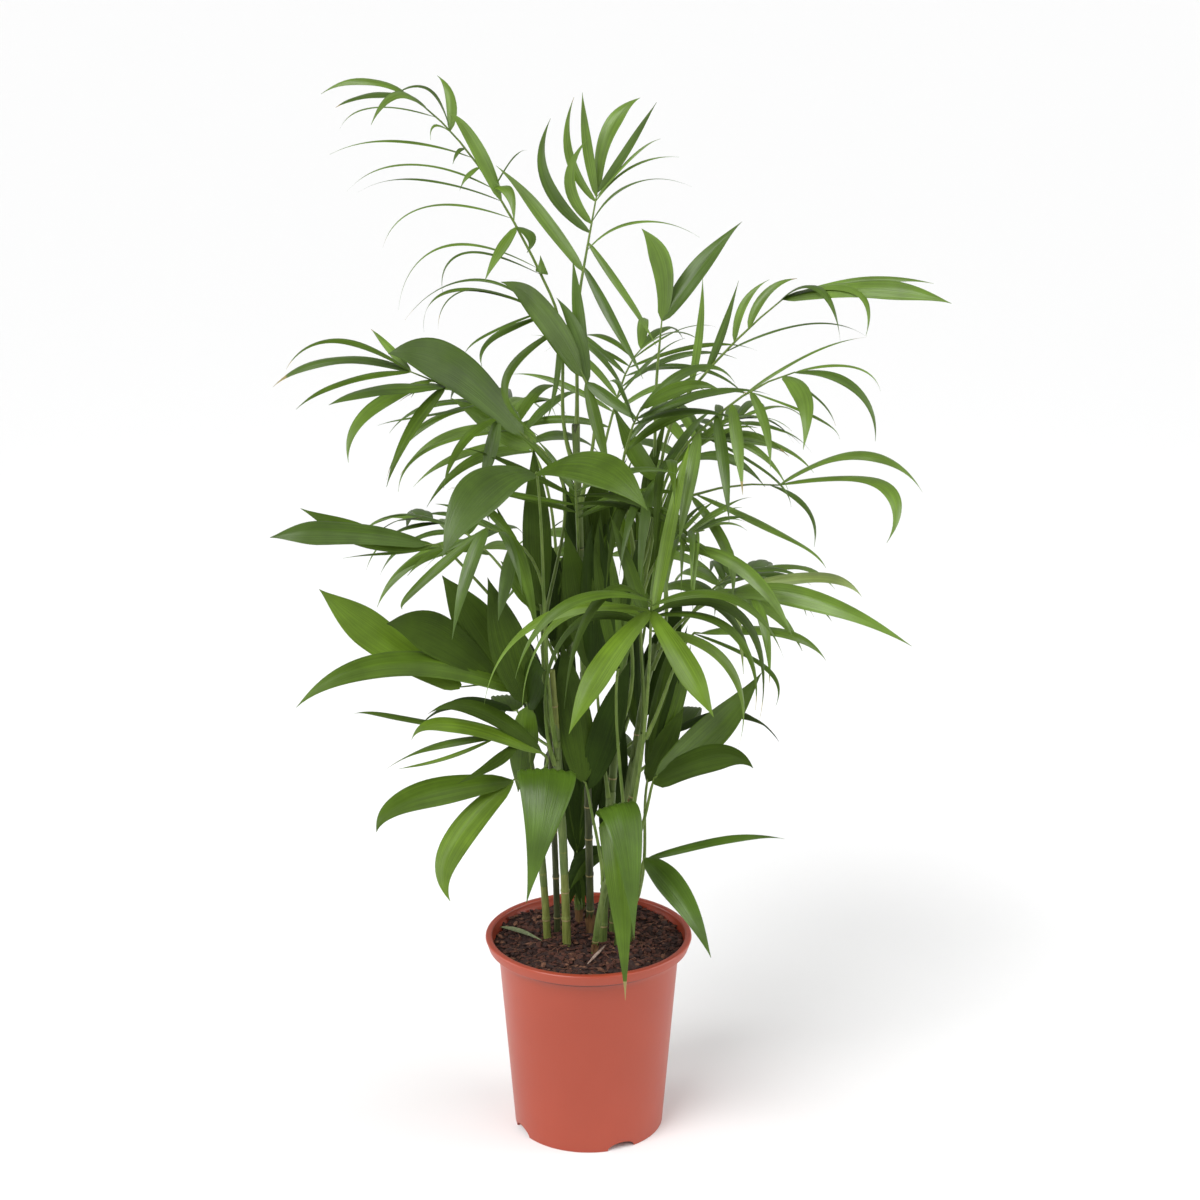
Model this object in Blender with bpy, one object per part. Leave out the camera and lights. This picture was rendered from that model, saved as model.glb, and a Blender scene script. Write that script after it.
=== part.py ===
"""Potted bamboo palm: a terracotta-coloured nursery pot with its potting mix, a tight clump of
green canes, and the feather fronds and broad young fronds that they carry.

Metres, +Z up. The origin is the middle of the pot's flat underside, and the plant's front faces -Y.
"""
import math

import bmesh
import bpy
import numpy as np
from mathutils.bvhtree import BVHTree

# Pot
POT_HEIGHT = 0.208
RIM_RADIUS = 0.105
RIM_INNER_RADIUS = 0.098
RIM_DROP = 0.0115
RIM_GROOVE_DEPTH = 0.004
RIM_TAPER = 0.0030
FLARE_HEIGHT = 0.012
FLARE_WIDTH = 0.0047
FLARE_SHARES = (0.0, 0.4, 1.0)
RIM_BEAD = 0.0015
RIM_INNER_LIP = 0.0008
BODY_TOP_RADIUS = 0.0923
BODY_BASE_RADIUS = 0.0763
WALL = 0.0020
FOOT_WIDTH = 0.0045
UNDERSIDE_PAD_RADIUS = 0.052
CHANNEL_DEPTH = 0.006
FLOOR = 0.0035
NOTCH_COUNT = 4
NOTCH_WIDTH = 0.030
NOTCH_HEIGHT = 0.008
NOTCH_INWARD = 0.006
NOTCH_OUTWARD = 0.010
CHANNEL_SLANT = 0.002
FIRST_NOTCH_ANGLE = -64.0
DRAIN_HOLE_COUNT = 6
DRAIN_HOLE_RADIUS = 0.005
ROUND_STEPS = 40

# Soil
SOIL_EDGE_HEIGHT = 0.2000
SOIL_RADIUS = 0.0962
SOIL_RISE = 0.0020
SEAT_GAP = 0.0003
SIDE_GAP = 0.0005

# Canes and fronds
CANE_SIDES = 6
CANE_BOW = (0.25, 0.25, 0.5)
CANE_STEPS = 7
PETIOLE_STEPS = 5
PETIOLE_LAUNCH = 0.35
PETIOLE_STIFFNESS = 0.35
RIB_SIDES = 4
RIB_RADIUS_AT_CANE = 0.0020
RIB_RADIUS_AT_KNEE = 0.0014
RIB_RADIUS_AT_TIP = 0.0009
LEAF_THICKNESS_SHARE = 0.011
LEAF_STATIONS = (0.25, 0.65)
BROAD_LEAF_STATIONS = (0.1, 0.4, 0.75)
LEAF_CLEARANCE = 0.0008
RIB_CLEARANCE = 0.0002
CANE_FLAT = math.cos(math.pi / CANE_SIDES)
RIB_FLAT = math.cos(math.pi / RIB_SIDES)
SEAT_STEP = 0.0002
SEAT_STEPS = 8
GOLDEN_ANGLE = 2.4
LEAST_TURN = 0.05
SPREAD_WANDER = 12.0
LIFT_WANDER = 16.0
REACH_WANDER = 0.14
DROOP_WANDER = 0.35
SINGLE_HOOK = 0.58
BLADE_SETBACK = 0.0015
BLADE_STAGGER = 0.0025

# Colours
TERRACOTTA = (0.48, 0.11, 0.065)
POTTING_MIX = (0.05, 0.02, 0.015)
CANE_COLOUR = (0.20, 0.27, 0.09)
LEAF_COLOUR = (0.09, 0.20, 0.03)

# Directions
UP = np.array((0.0, 0.0, 1.0))
EAST = np.array((1.0, 0.0, 0.0))
SKY = UP
FRONT = np.array((0.0, -0.8, 0.6))
LEAN = np.array((0.0, -0.5, 0.85))


def unit(vector):
    return vector / np.linalg.norm(vector)


def bend(points, t):
    """Point at t on the smooth curve from the first point to the last, drawn toward those between."""
    while len(points) > 1:
        points = [first + (second - first) * t for first, second in zip(points, points[1:])]
    return points[0]


def slope(points, t):
    """Direction of the same curve at t."""
    while len(points) > 2:
        points = [first + (second - first) * t for first, second in zip(points, points[1:])]
    return unit(points[1] - points[0])


def heading(degrees):
    angle = math.radians(degrees)
    return np.array((math.cos(angle), math.sin(angle), 0.0))


def soil_height(x, y):
    share = (x * x + y * y) / SOIL_RADIUS ** 2
    return SOIL_EDGE_HEIGHT + SOIL_RISE * (1 - share)


def outer_radius(z):
    """Radius of the pot's outer wall at height z: a straight taper that flares just under the rim band."""
    skirt_foot = POT_HEIGHT - RIM_DROP
    straight = BODY_BASE_RADIUS + (BODY_TOP_RADIUS - BODY_BASE_RADIUS) * z / skirt_foot
    rise = max(1 - (skirt_foot - z) / FLARE_HEIGHT, 0.0)
    return straight + FLARE_WIDTH * rise * rise


def inner_radius(z):
    return outer_radius(z) - WALL


class Cane:
    """A cane that stands on the soil, its lowest edge just clear of it, and leans out in a slow curve."""

    def __init__(self, foot, top, thick, thin):
        self.top = np.array(top)
        ground = np.array((foot[0], foot[1], soil_height(*foot) + SEAT_GAP))
        lean = unit((self.top - ground) * CANE_BOW)
        self.foot = ground + UP * thick * np.linalg.norm(lean[:2])
        self.curve = [self.foot, self.foot + (self.top - self.foot) * CANE_BOW, self.top]
        self.thick = thick
        self.thin = thin

    def point(self, t):
        return bend(self.curve, t)

    def radius(self, t):
        return self.thick + (self.thin - self.thick) * t

    def share_at(self, z):
        return min(max((z - self.foot[2]) / (self.top[2] - self.foot[2]), 0.0), 1.0)


class Leaf:
    """A leaflet: its centre line from root through control to tip, and the way its face looks."""

    def __init__(self, root, control, tip, width, face, base, fullest):
        self.curve = [root, control, tip]
        self.width = width
        self.face = unit(face)
        self.base = base
        self.fullest = fullest
        chord = unit(tip - root)
        self.side = np.cross(chord, self.face)
        if np.linalg.norm(self.side) < LEAST_TURN:
            self.side = np.cross(chord, FRONT + (0.3, 0.0, 0.0))

    def moved(self, shift):
        root, control, tip = self.curve
        return Leaf(root, control + shift * 0.6, tip + shift, self.width, self.face, self.base, self.fullest)

    def length(self):
        root, control, tip = self.curve
        return np.linalg.norm(control - root) + np.linalg.norm(tip - control)

    def spot(self, u):
        return bend(self.curve, u)

    def axes(self, u):
        """Run along the leaflet, direction across it and direction out of its upper face at u."""
        run = slope(self.curve, u)
        across = unit(self.side - run * np.dot(self.side, run))
        return run, across, np.cross(across, run)

    def width_at(self, u):
        """Width at u: a swell from the root to the fullest part, then a taper to the point."""
        rise = self.base + (1 - self.base) * math.sin(math.pi / 2 * min(u / self.fullest, 1.0))
        fall = max(math.cos(math.pi / 2 * max((u - self.fullest) / (1 - self.fullest), 0.0)), 0.0)
        return self.width * rise * fall


def side(count, reach, width, spread=(70, 40), lift=10, droop=0.4, face=None, hook=0.6):
    """An even row of leaflets down one side of a rib.

    spread is the angle from the rib in degrees, at the knee and at the tip; lift is the angle out of
    the frond's plane; droop is how far a leaflet hangs; face is the way its upper face looks, or None
    for the way the frond itself looks; hook is how far out a leaflet starts to bend down.
    """
    return {"count": count, "reach": reach, "width": width, "spread": spread, "lift": lift,
            "droop": droop, "face": face, "hook": hook}


def blade(share, tip, width, arch=0.0, face=SKY, aside=0.0, base=0.45, fullest=0.35):
    """A leaflet placed singly: where along the rib it starts, its tip and its width.

    arch and aside are how far its middle is drawn up and to the east.
    """
    return {"share": share, "tip": np.array(tip), "width": width, "pull": UP * arch + EAST * aside,
            "face": face, "base": base, "fullest": fullest}


class Frond:
    """A petiole from the cane to the knee, then a rib that carries leaflets from the knee to the tip."""

    def __init__(self, name, cane, start, knee, tip, arch=0.01, left=None, right=None, blades=(),
                 toward=None):
        self.name = name
        knee = np.array(knee)
        tip = np.array(tip)
        self.rib_curve = [knee, (knee + tip) / 2 + UP * arch, tip]
        self.left = left
        self.right = right
        self.blades = blades
        self.heading = unit((tip - knee) * (1, 1, 0)) if toward is None else heading(toward)
        stem = Cane(*CANES[cane])
        share = stem.share_at(start)
        self.core = stem.point(share)
        self.out = unit((knee - self.core) * (1, 1, 0))
        self.launch = unit(slope(stem.curve, share) + self.out * PETIOLE_LAUNCH)
        self.nearest = stem.radius(share) * CANE_FLAT + RIB_RADIUS_AT_CANE * RIB_FLAT + SEAT_GAP
        self.lay(0.0, 0.0)

    def lay(self, apart, shift):
        """Lay the petiole: its foot this much further from the cane, and its middle moved aside."""
        foot = self.core + self.out * (self.nearest + apart)
        knee = self.rib_curve[0]
        reach = np.linalg.norm(knee - foot) * PETIOLE_STIFFNESS
        rise = slope(self.rib_curve, 0.0)
        low = foot + self.launch * reach + shift * 0.5
        high = knee - rise * reach + shift
        self.petiole_curve = [foot, low, high, knee]

    def petiole(self, t):
        return bend(self.petiole_curve, t)

    def rib_steps(self):
        return max(2, round(np.linalg.norm(self.rib_curve[2] - self.rib_curve[0]) / 0.030))

    def rib(self, t):
        """Point at t on the rib, which is drawn in straight steps."""
        steps = self.rib_steps()
        low = min(int(t * steps), steps - 1)
        start = bend(self.rib_curve, low / steps)
        end = bend(self.rib_curve, (low + 1) / steps)
        return start + (end - start) * (t * steps - low)

    def axes(self, t):
        """Forward, sideways and upper-face directions of the rib at t."""
        forward = slope(self.rib_curve, t)
        across = np.cross(self.heading, UP)
        across = unit(across - forward * np.dot(across, forward))
        return forward, across, np.cross(across, forward)

    def row_leaf(self, row, sign, number, shift):
        t = (number + shift) / row["count"] * 0.96
        wander = math.sin(GOLDEN_ANGLE * number + sign + len(self.name))
        forward, across, over = self.axes(t)
        near, far = row["spread"]
        spread = math.radians(near + (far - near) * t + SPREAD_WANDER * wander)
        lift = math.radians(row["lift"] - LIFT_WANDER * wander)
        out = across * sign * math.cos(lift) + over * math.sin(lift)
        way = forward * math.cos(spread) + out * math.sin(spread)
        reach = row["reach"] * (0.8 + 0.2 * math.sin(math.pi * (t + 0.2)) + REACH_WANDER * wander)
        droop = row["droop"] * (1 + DROOP_WANDER * math.sin(GOLDEN_ANGLE * (number + 0.7) * 1.6))
        root = self.rib(t)
        control = root + way * reach * row["hook"]
        tip = root + unit(way - UP * droop) * reach
        face = -sign * np.cross(forward, way) if row["face"] is None else row["face"]
        return Leaf(root, control, tip, row["width"], face, 0.35, 0.35)

    def single_leaf(self, place, one):
        """Blades that start at the same share of the rib are set one behind the other."""
        length = np.linalg.norm(self.rib_curve[2] - self.rib_curve[0])
        setback = BLADE_SETBACK + BLADE_STAGGER * place / len(self.blades)
        root = self.rib(abs(one["share"] - setback / length))
        middle = root + (one["tip"] - root) * SINGLE_HOOK + one["pull"]
        return Leaf(root, middle, one["tip"], one["width"], one["face"], one["base"], one["fullest"])

    def leaves(self):
        """The single blades first, then the even rows down both sides."""
        found = [self.single_leaf(place, one) for place, one in enumerate(self.blades)]
        for row, sign, shift in ((self.left, -1, 0.1), (self.right, 1, 0.5)):
            if row is not None:
                found += [self.row_leaf(row, sign, number, shift) for number in range(row["count"])]
        return found


# Canes by letter: foot (x, y), top (x, y, z), radius at the foot, radius at the top
CANES = {
    "a": ((0.002, 0.010), (-0.012, 0.000, 0.735), 0.0040, 0.0030),
    "b": ((0.014, -0.010), (0.048, 0.000, 0.620), 0.0046, 0.0032),
    "c": ((0.024, 0.014), (0.065, 0.035, 0.500), 0.0036, 0.0028),
    "d": ((0.030, -0.020), (0.052, -0.035, 0.430), 0.0042, 0.0028),
    "e": ((-0.042, 0.000), (-0.060, -0.015, 0.420), 0.0040, 0.0026),
    "f": ((-0.032, 0.018), (-0.045, 0.030, 0.520), 0.0034, 0.0026),
    "g": ((-0.022, -0.014), (-0.035, -0.035, 0.500), 0.0044, 0.0028),
    "h": ((0.006, -0.034), (0.020, -0.050, 0.290), 0.0032, 0.0025),
    "i": ((-0.010, 0.038), (-0.020, 0.075, 0.500), 0.0036, 0.0027),
    "j": ((0.024, 0.042), (0.035, 0.080, 0.450), 0.0034, 0.0026),
    "k": ((0.042, 0.000), (0.048, -0.010, 0.255), 0.0028, 0.0023),
}


def fronds():
    return [
        Frond("top_left", "a", 0.70, (-0.035, 0.0, 0.860), (-0.170, 0.03, 1.043), arch=0.055,
              blades=[blade(1.0, (-0.25, 0.04, 1.042), 0.010, 0.022, LEAN, 0.011),
                      blade(1.0, (-0.23, -0.02, 1.034), 0.010, 0.008, LEAN),
                      blade(0.85, (-0.196, -0.04, 1.02), 0.012, 0.039, FRONT),
                      blade(0.7, (-0.142, 0.06, 1.058), 0.010, 0.004, FRONT, 0.014),
                      blade(0.7, (-0.18, 0.0, 1.041), 0.006, 0.041, FRONT, 0.019),
                      blade(0.65, (-0.145, 0.0, 1.003), 0.005, 0.025, FRONT, -0.01),
                      blade(0.35, (-0.128, 0.0, 1.028), 0.014, 0.022, FRONT),
                      blade(0.4, (-0.056, 0.0, 0.994), 0.004, 0.013, FRONT),
                      blade(0.4, (-0.068, -0.02, 0.929), 0.011, 0.026, FRONT, 0.008),
                      blade(0.5, (-0.119, 0.0, 0.957), 0.006, 0.008, FRONT),
                      blade(0.6, (-0.125, 0.0, 0.981), 0.005, 0.009, FRONT),
                      blade(0.55, (-0.239, 0.0, 0.99), 0.004, 0.024, SKY, 0.011),
                      blade(0.4, (-0.224, 0.0, 0.956), 0.004, 0.045),
                      blade(0.35, (-0.212, -0.02, 0.957), 0.004, 0.028),
                      blade(0.28, (-0.189, -0.03, 0.908), 0.004, 0.049, SKY, -0.021),
                      blade(0.1, (-0.176, -0.03, 0.85), 0.004, 0.080, SKY, -0.028),
                      blade(0.08, (-0.134, -0.04, 0.868), 0.004, 0.056, SKY, -0.036),
                      blade(0.8, (-0.226, -0.03, 1.015), 0.004, 0.028, SKY, -0.015),
                      blade(0.25, (-0.095, -0.04, 0.878), 0.010, 0.007, FRONT),
                      blade(0.25, (-0.056, -0.03, 0.903), 0.010, 0.005, FRONT, 0.017),
                      blade(0.1, (-0.044, -0.01, 0.898), 0.013, -0.016, FRONT, 0.005)]),
        Frond("top_middle", "a", 0.73, (-0.005, 0.03, 0.875), (0.010, 0.06, 0.955), arch=0.0, toward=90,
              blades=[blade(0.05, (-0.085, 0.0, 0.98), 0.014, 0.006, FRONT, 0.003),
                      blade(0.1, (0.052, -0.03, 0.785), 0.010, 0.0, FRONT),
                      blade(1.0, (0.05, 0.08, 1.036), 0.015, 0.014, FRONT, -0.023, fullest=0.6),
                      blade(0.9, (-0.005, 0.05, 1.043), 0.010, 0.003, FRONT, -0.005),
                      blade(0.95, (0.065, 0.05, 1.034), 0.009, -0.006, FRONT),
                      blade(0.85, (-0.013, 0.06, 1.038), 0.009, -0.011, FRONT, -0.030),
                      blade(0.6, (0.002, 0.04, 1.003), 0.011, -0.005, FRONT, -0.04),
                      blade(0.5, (-0.035, 0.05, 1.019), 0.012, -0.010, FRONT, -0.046),
                      blade(0.9, (0.069, 0.05, 1.0), 0.004, 0.012),
                      blade(0.85, (0.087, 0.06, 0.982), 0.004, 0.016, SKY, -0.021),
                      blade(0.62, (0.099, 0.05, 0.955), 0.004, 0.034, SKY, -0.027),
                      blade(0.3, (0.107, 0.05, 0.907), 0.004, 0.038, SKY, -0.025),
                      blade(0.4, (0.065, 0.0, 0.811), 0.008, 0.005, FRONT)]),
        Frond("upper_left", "a", 0.66, (0.0, -0.01, 0.775), (-0.055, -0.05, 0.862), arch=0.02,
              blades=[blade(0.1, (-0.078, -0.09, 0.885), 0.030, 0.03, FRONT),
                      blade(0.8, (-0.112, -0.10, 0.82), 0.004, 0.003, LEAN, -0.016),
                      blade(0.95, (-0.171, -0.02, 0.839), 0.004, 0.058, SKY, 0.015),
                      blade(0.9, (-0.152, -0.04, 0.831), 0.006, 0.054, SKY, -0.035),
                      blade(0.8, (-0.138, -0.05, 0.835), 0.008, 0.055, SKY, -0.027),
                      blade(0.75, (-0.096, -0.09, 0.808), 0.008, 0.007, LEAN, -0.032),
                      blade(0.55, (-0.040, -0.06, 0.733), 0.008, 0.008, FRONT, -0.084),
                      blade(0.5, (-0.038, -0.04, 0.747), 0.006, 0.001, FRONT, 0.007),
                      blade(0.0, (0.050, -0.04, 0.745), 0.013, 0.0, FRONT),
                      blade(0.0, (0.02, -0.05, 0.70), 0.012, 0.0, FRONT),
                      blade(0.02, (-0.014, 0.0, 0.894), 0.012, -0.010, FRONT, fullest=0.5),
                      blade(0.05, (-0.029, -0.02, 0.860), 0.014, 0.001, FRONT, 0.014, fullest=0.5)]),
        Frond("top_right_fork", "b", 0.60, (0.067, 0.02, 0.79), (0.071, 0.03, 0.833), arch=0.0, toward=90,
              blades=[blade(1.0, (0.051, 0.03, 0.918), 0.020, 0.004, FRONT, 0.022, fullest=0.6),
                      blade(1.0, (0.148, 0.06, 0.921), 0.020, 0.0, FRONT, -0.01)]),
        Frond("right_high", "b", 0.59, (0.097, 0.0, 0.767), (0.184, -0.02, 0.86),
              blades=[blade(1.0, (0.317, -0.06, 0.879), 0.009, 0.015, FRONT, -0.009, fullest=0.5),
                      blade(1.0, (0.328, -0.10, 0.867), 0.019, 0.02, FRONT, -0.01, fullest=0.6),
                      blade(0.95, (0.232, -0.07, 0.827), 0.011, 0.062, LEAN, 0.009),
                      blade(1.0, (0.253, -0.09, 0.836), 0.011, 0.052, LEAN, 0.042),
                      blade(0.02, (0.108, 0.0, 0.876), 0.008, -0.002, FRONT, 0.006),
                      blade(0.2, (0.142, 0.0, 0.873), 0.008, -0.011, FRONT),
                      blade(0.5, (0.171, 0.0, 0.874), 0.008, 0.009, FRONT, -0.017),
                      blade(0.65, (0.197, 0.0, 0.875), 0.009, 0.014, FRONT, -0.017),
                      blade(0.4, (0.262, -0.02, 0.823), 0.004, 0.034)]),
        Frond("right_middle", "b", 0.55, (0.097, -0.03, 0.726), (0.192, -0.06, 0.797), arch=0.02,
              blades=[blade(0.9, (0.195, -0.13, 0.739), 0.018, 0.027, FRONT, 0.018),
                      blade(1.0, (0.266, -0.08, 0.736), 0.010, 0.042, LEAN, 0.025),
                      blade(1.0, (0.273, -0.05, 0.777), 0.004, 0.029, SKY, 0.015),
                      blade(0.1, (0.085, -0.09, 0.640), 0.014, 0.01, FRONT),
                      blade(0.27, (0.131, -0.10, 0.663), 0.012, 0.020, FRONT),
                      blade(0.42, (0.143, -0.10, 0.69), 0.012, 0.013, FRONT),
                      blade(0.6, (0.168, -0.10, 0.715), 0.010, 0.013, FRONT, 0.007),
                      blade(0.9, (0.231, -0.06, 0.746), 0.004, 0.011, SKY, 0.008),
                      blade(0.6, (0.233, -0.08, 0.738), 0.004, 0.0, SKY, 0.028),
                      blade(0.05, (0.19, -0.05, 0.715), 0.009, 0.008, SKY, 0.007),
                      blade(0.1, (0.192, -0.05, 0.666), 0.004, 0.004, SKY, 0.029),
                      blade(0.55, (0.258, -0.05, 0.828), 0.005, 0.008, LEAN, -0.016)]),
        Frond("right_low_long", "c", 0.50, (0.099, 0.02, 0.66), (0.185, -0.01, 0.678),
              blades=[blade(1.0, (0.317, -0.04, 0.678), 0.012, 0.062, LEAN, 0.004, fullest=0.6),
                      blade(1.0, (0.277, -0.10, 0.644), 0.014, 0.058, LEAN, 0.078, fullest=0.6),
                      blade(0.9, (0.212, -0.08, 0.635), 0.008, 0.02, SKY, 0.022),
                      blade(0.1, (0.224, -0.08, 0.614), 0.009, -0.007, LEAN, 0.036),
                      blade(0.05, (0.137, -0.05, 0.573), 0.011, 0.004, FRONT, 0.027)]),
        Frond("right_broad", "c", 0.48, (0.113, -0.03, 0.565), (0.17, -0.04, 0.585),
              right=side(2, 0.10, 0.010, spread=(70, 50), lift=0, droop=0.9, face=LEAN),
              blades=[blade(0.35, (0.264, -0.03, 0.572), 0.017, 0.036, LEAN, 0.019, fullest=0.6),
                      blade(0.35, (0.303, -0.11, 0.547), 0.022, 0.047, FRONT, -0.039, fullest=0.5)]),
        Frond("right_flat", "d", 0.43, (0.095, -0.04, 0.53), (0.11, -0.045, 0.54),
              blades=[blade(1.0, (0.224, -0.10, 0.530), 0.014, 0.028, LEAN, 0.018),
                      blade(0.6, (0.179, -0.14, 0.50), 0.006, 0.007, FRONT, 0.051)]),
        Frond("low_right", "d", 0.30, (0.062, -0.03, 0.375), (0.068, -0.035, 0.39),
              blades=[blade(1.0, (0.17, -0.02, 0.493), 0.035, -0.012, FRONT, 0.009),
                      blade(0.5, (0.159, -0.08, 0.415), 0.029, 0.035, FRONT, 0.019, base=0.8)]),
        Frond("front_fan", "d", 0.34, (0.058, -0.14, 0.570), (0.058, -0.19, 0.617), toward=-90,
              left=side(3, 0.140, 0.012, spread=(95, 50), lift=22, droop=1.1, face=LEAN, hook=0.68),
              right=side(5, 0.165, 0.012, spread=(95, 50), lift=22, droop=1.1, face=LEAN, hook=0.68),
              blades=[blade(0.5, (-0.016, -0.24, 0.506), 0.023, 0.03, FRONT, base=0.35, fullest=0.6),
                      blade(0.5, (0.112, -0.24, 0.522), 0.023, 0.023, FRONT, -0.01, base=0.35, fullest=0.65),
                      blade(0.5, (0.156, -0.16, 0.48), 0.012, 0.111, LEAN, 0.055),
                      blade(0.4, (0.153, -0.18, 0.508), 0.009, 0.069, LEAN, 0.037),
                      blade(0.0, (0.021, -0.08, 0.666), 0.013, 0.0, FRONT),
                      blade(0.0, (0.096, -0.06, 0.733), 0.012, 0.02, FRONT)]),
        Frond("middle_high", "b", 0.60, (0.035, -0.035, 0.715), (0.05, -0.065, 0.765), toward=-60,
              left=side(3, 0.13, 0.011, spread=(65, 40), lift=10, droop=0.4, face=LEAN),
              blades=[blade(1.0, (0.12, -0.11, 0.79), 0.016, 0.02, FRONT),
                      blade(0.6, (0.02, -0.12, 0.80), 0.010, 0.02, FRONT),
                      blade(0.9, (0.139, -0.02, 0.779), 0.011, 0.049, LEAN)]),
        Frond("middle_right", "c", 0.38, (0.075, -0.03, 0.62), (0.11, -0.055, 0.645),
              left=side(4, 0.08, 0.006, spread=(60, 40), lift=20, droop=0.3, face=LEAN),
              right=side(4, 0.09, 0.007, spread=(70, 50), lift=0, droop=0.9, face=LEAN),
              blades=[blade(0.05, (0.190, -0.12, 0.560), 0.014, 0.056, FRONT, 0.007, fullest=0.6)]),
        Frond("left_paddle", "f", 0.475, (-0.131, -0.02, 0.612), (-0.156, -0.03, 0.624),
              blades=[blade(1.0, (-0.300, -0.06, 0.639), 0.026, 0.014, FRONT, 0.016, base=0.3, fullest=0.7),
                      blade(0.8, (-0.274, -0.03, 0.660), 0.022, -0.028, FRONT, 0.022, base=0.3, fullest=0.6),
                      blade(0.5, (-0.236, -0.02, 0.608), 0.004, -0.002, SKY, 0.006)]),
        Frond("left_middle", "g", 0.40, (-0.060, -0.05, 0.625), (-0.095, -0.085, 0.655),
              right=side(3, 0.090, 0.010, spread=(65, 40), lift=25, droop=0.3, face=LEAN),
              blades=[blade(1.0, (-0.173, -0.10, 0.580), 0.010, -0.025, FRONT, -0.04),
                      blade(1.0, (-0.125, -0.13, 0.560), 0.014, 0.03, FRONT),
                      blade(0.3, (-0.085, -0.07, 0.560), 0.014, 0.0, FRONT),
                      blade(0.5, (-0.046, -0.10, 0.545), 0.013, 0.045, FRONT),
                      blade(0.7, (-0.060, -0.12, 0.600), 0.009, 0.03, LEAN),
                      blade(0.9, (-0.155, -0.07, 0.610), 0.006, 0.01, LEAN)]),
        Frond("left_high", "f", 0.50, (-0.045, -0.015, 0.715), (-0.165, -0.06, 0.798), arch=0.015,
              blades=[blade(0.15, (-0.184, -0.06, 0.814), 0.041, 0.042, FRONT, 0.006, fullest=0.6),
                      blade(0.05, (-0.131, 0.0, 0.761), 0.029, -0.016, FRONT, 0.021),
                      blade(1.0, (-0.276, -0.08, 0.803), 0.008, 0.052, LEAN, -0.007),
                      blade(1.0, (-0.296, -0.03, 0.777), 0.013, 0.035, LEAN, 0.008, fullest=0.6),
                      blade(1.0, (-0.205, 0.00, 0.827), 0.008, 0.0, FRONT),
                      blade(1.0, (-0.263, -0.12, 0.774), 0.009, 0.018, LEAN),
                      blade(0.75, (-0.231, -0.14, 0.782), 0.018, 0.009, LEAN, 0.006, fullest=0.6),
                      blade(0.85, (-0.217, -0.12, 0.725), 0.013, 0.017, FRONT, -0.038),
                      blade(0.75, (-0.183, -0.12, 0.702), 0.012, 0.018, FRONT, -0.005),
                      blade(0.5, (-0.203, 0.02, 0.730), 0.004, -0.002, SKY, 0.005),
                      blade(0.2, (-0.174, -0.10, 0.693), 0.006, 0.029, SKY, -0.038),
                      blade(0.35, (-0.131, -0.12, 0.701), 0.010, 0.022, FRONT, -0.011),
                      blade(0.35, (-0.099, -0.07, 0.688), 0.013, 0.0, FRONT)]),
        Frond("left_broad", "e", 0.40, (-0.066, -0.03, 0.478), (-0.125, -0.04, 0.484),
              blades=[blade(1.0, (-0.260, -0.02, 0.577), 0.037, -0.014, FRONT, fullest=0.6),
                      blade(0.3, (-0.192, -0.06, 0.554), 0.042, 0.03, FRONT, base=0.3, fullest=0.55),
                      blade(0.05, (-0.141, -0.02, 0.591), 0.044, 0.0, FRONT, base=0.4, fullest=0.45),
                      blade(0.05, (-0.276, -0.1, 0.483), 0.028, 0.07, FRONT, -0.01, base=0.6, fullest=0.5)]),
        Frond("left_low", "e", 0.37, (-0.045, -0.045, 0.418), (-0.095, -0.055, 0.440),
              blades=[blade(1.0, (-0.230, -0.03, 0.453), 0.008, 0.010, LEAN, -0.03),
                      blade(0.05, (-0.168, -0.09, 0.448), 0.022, 0.040, LEAN, -0.031),
                      blade(0.05, (-0.155, -0.05, 0.460), 0.018, 0.044, FRONT),
                      blade(0.8, (-0.201, -0.03, 0.394), 0.010, 0.019, LEAN, 0.006),
                      blade(0.9, (-0.184, -0.06, 0.407), 0.005, -0.013, LEAN, -0.006),
                      blade(0.5, (-0.125, -0.09, 0.403), 0.013, -0.004, LEAN, 0.01)]),
        Frond("left_hanging", "e", 0.32, (-0.065, -0.045, 0.385), (-0.076, -0.05, 0.39),
              blades=[blade(1.0, (-0.201, -0.12, 0.365), 0.029, 0.019, FRONT, -0.051),
                      blade(1.0, (-0.132, -0.12, 0.294), 0.028, -0.009, FRONT, -0.053)]),
        Frond("centre_bifid", "g", 0.42, (-0.046, -0.085, 0.700), (-0.048, -0.10, 0.709), toward=-90,
              blades=[blade(1.0, (-0.128, -0.20, 0.657), 0.042, 0.055, FRONT, base=0.3, fullest=0.55),
                      blade(1.0, (0.053, -0.22, 0.705), 0.036, 0.045, FRONT, base=0.25, fullest=0.55)]),
        Frond("front_hang_left", "g", 0.34, (-0.050, -0.055, 0.385), (-0.050, -0.066, 0.395), toward=-90,
              blades=[blade(1.0, (-0.058, -0.15, 0.305), 0.056, 0.12, FRONT, 0.03, base=0.7, fullest=0.35)]),
        Frond("front_hang_right", "h", 0.285, (0.018, -0.075, 0.355), (0.018, -0.085, 0.364), toward=-90,
              blades=[blade(1.0, (0.036, -0.14, 0.200), 0.026, 0.075, FRONT, 0.004, base=0.7, fullest=0.4),
                      blade(1.0, (0.044, -0.155, 0.27), 0.037, 0.125, FRONT, 0.004, base=0.7, fullest=0.4)]),
        Frond("low_right_arc", "k", 0.25, (0.054, -0.035, 0.298), (0.058, -0.04, 0.303),
              blades=[blade(1.0, (0.196, -0.02, 0.318), 0.011, 0.014, LEAN),
                      blade(1.0, (0.119, -0.12, 0.235), 0.027, 0.03, FRONT)]),
        Frond("inner_right", "j", 0.43, (0.058, 0.05, 0.53), (0.062, 0.05, 0.55), toward=0,
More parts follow.
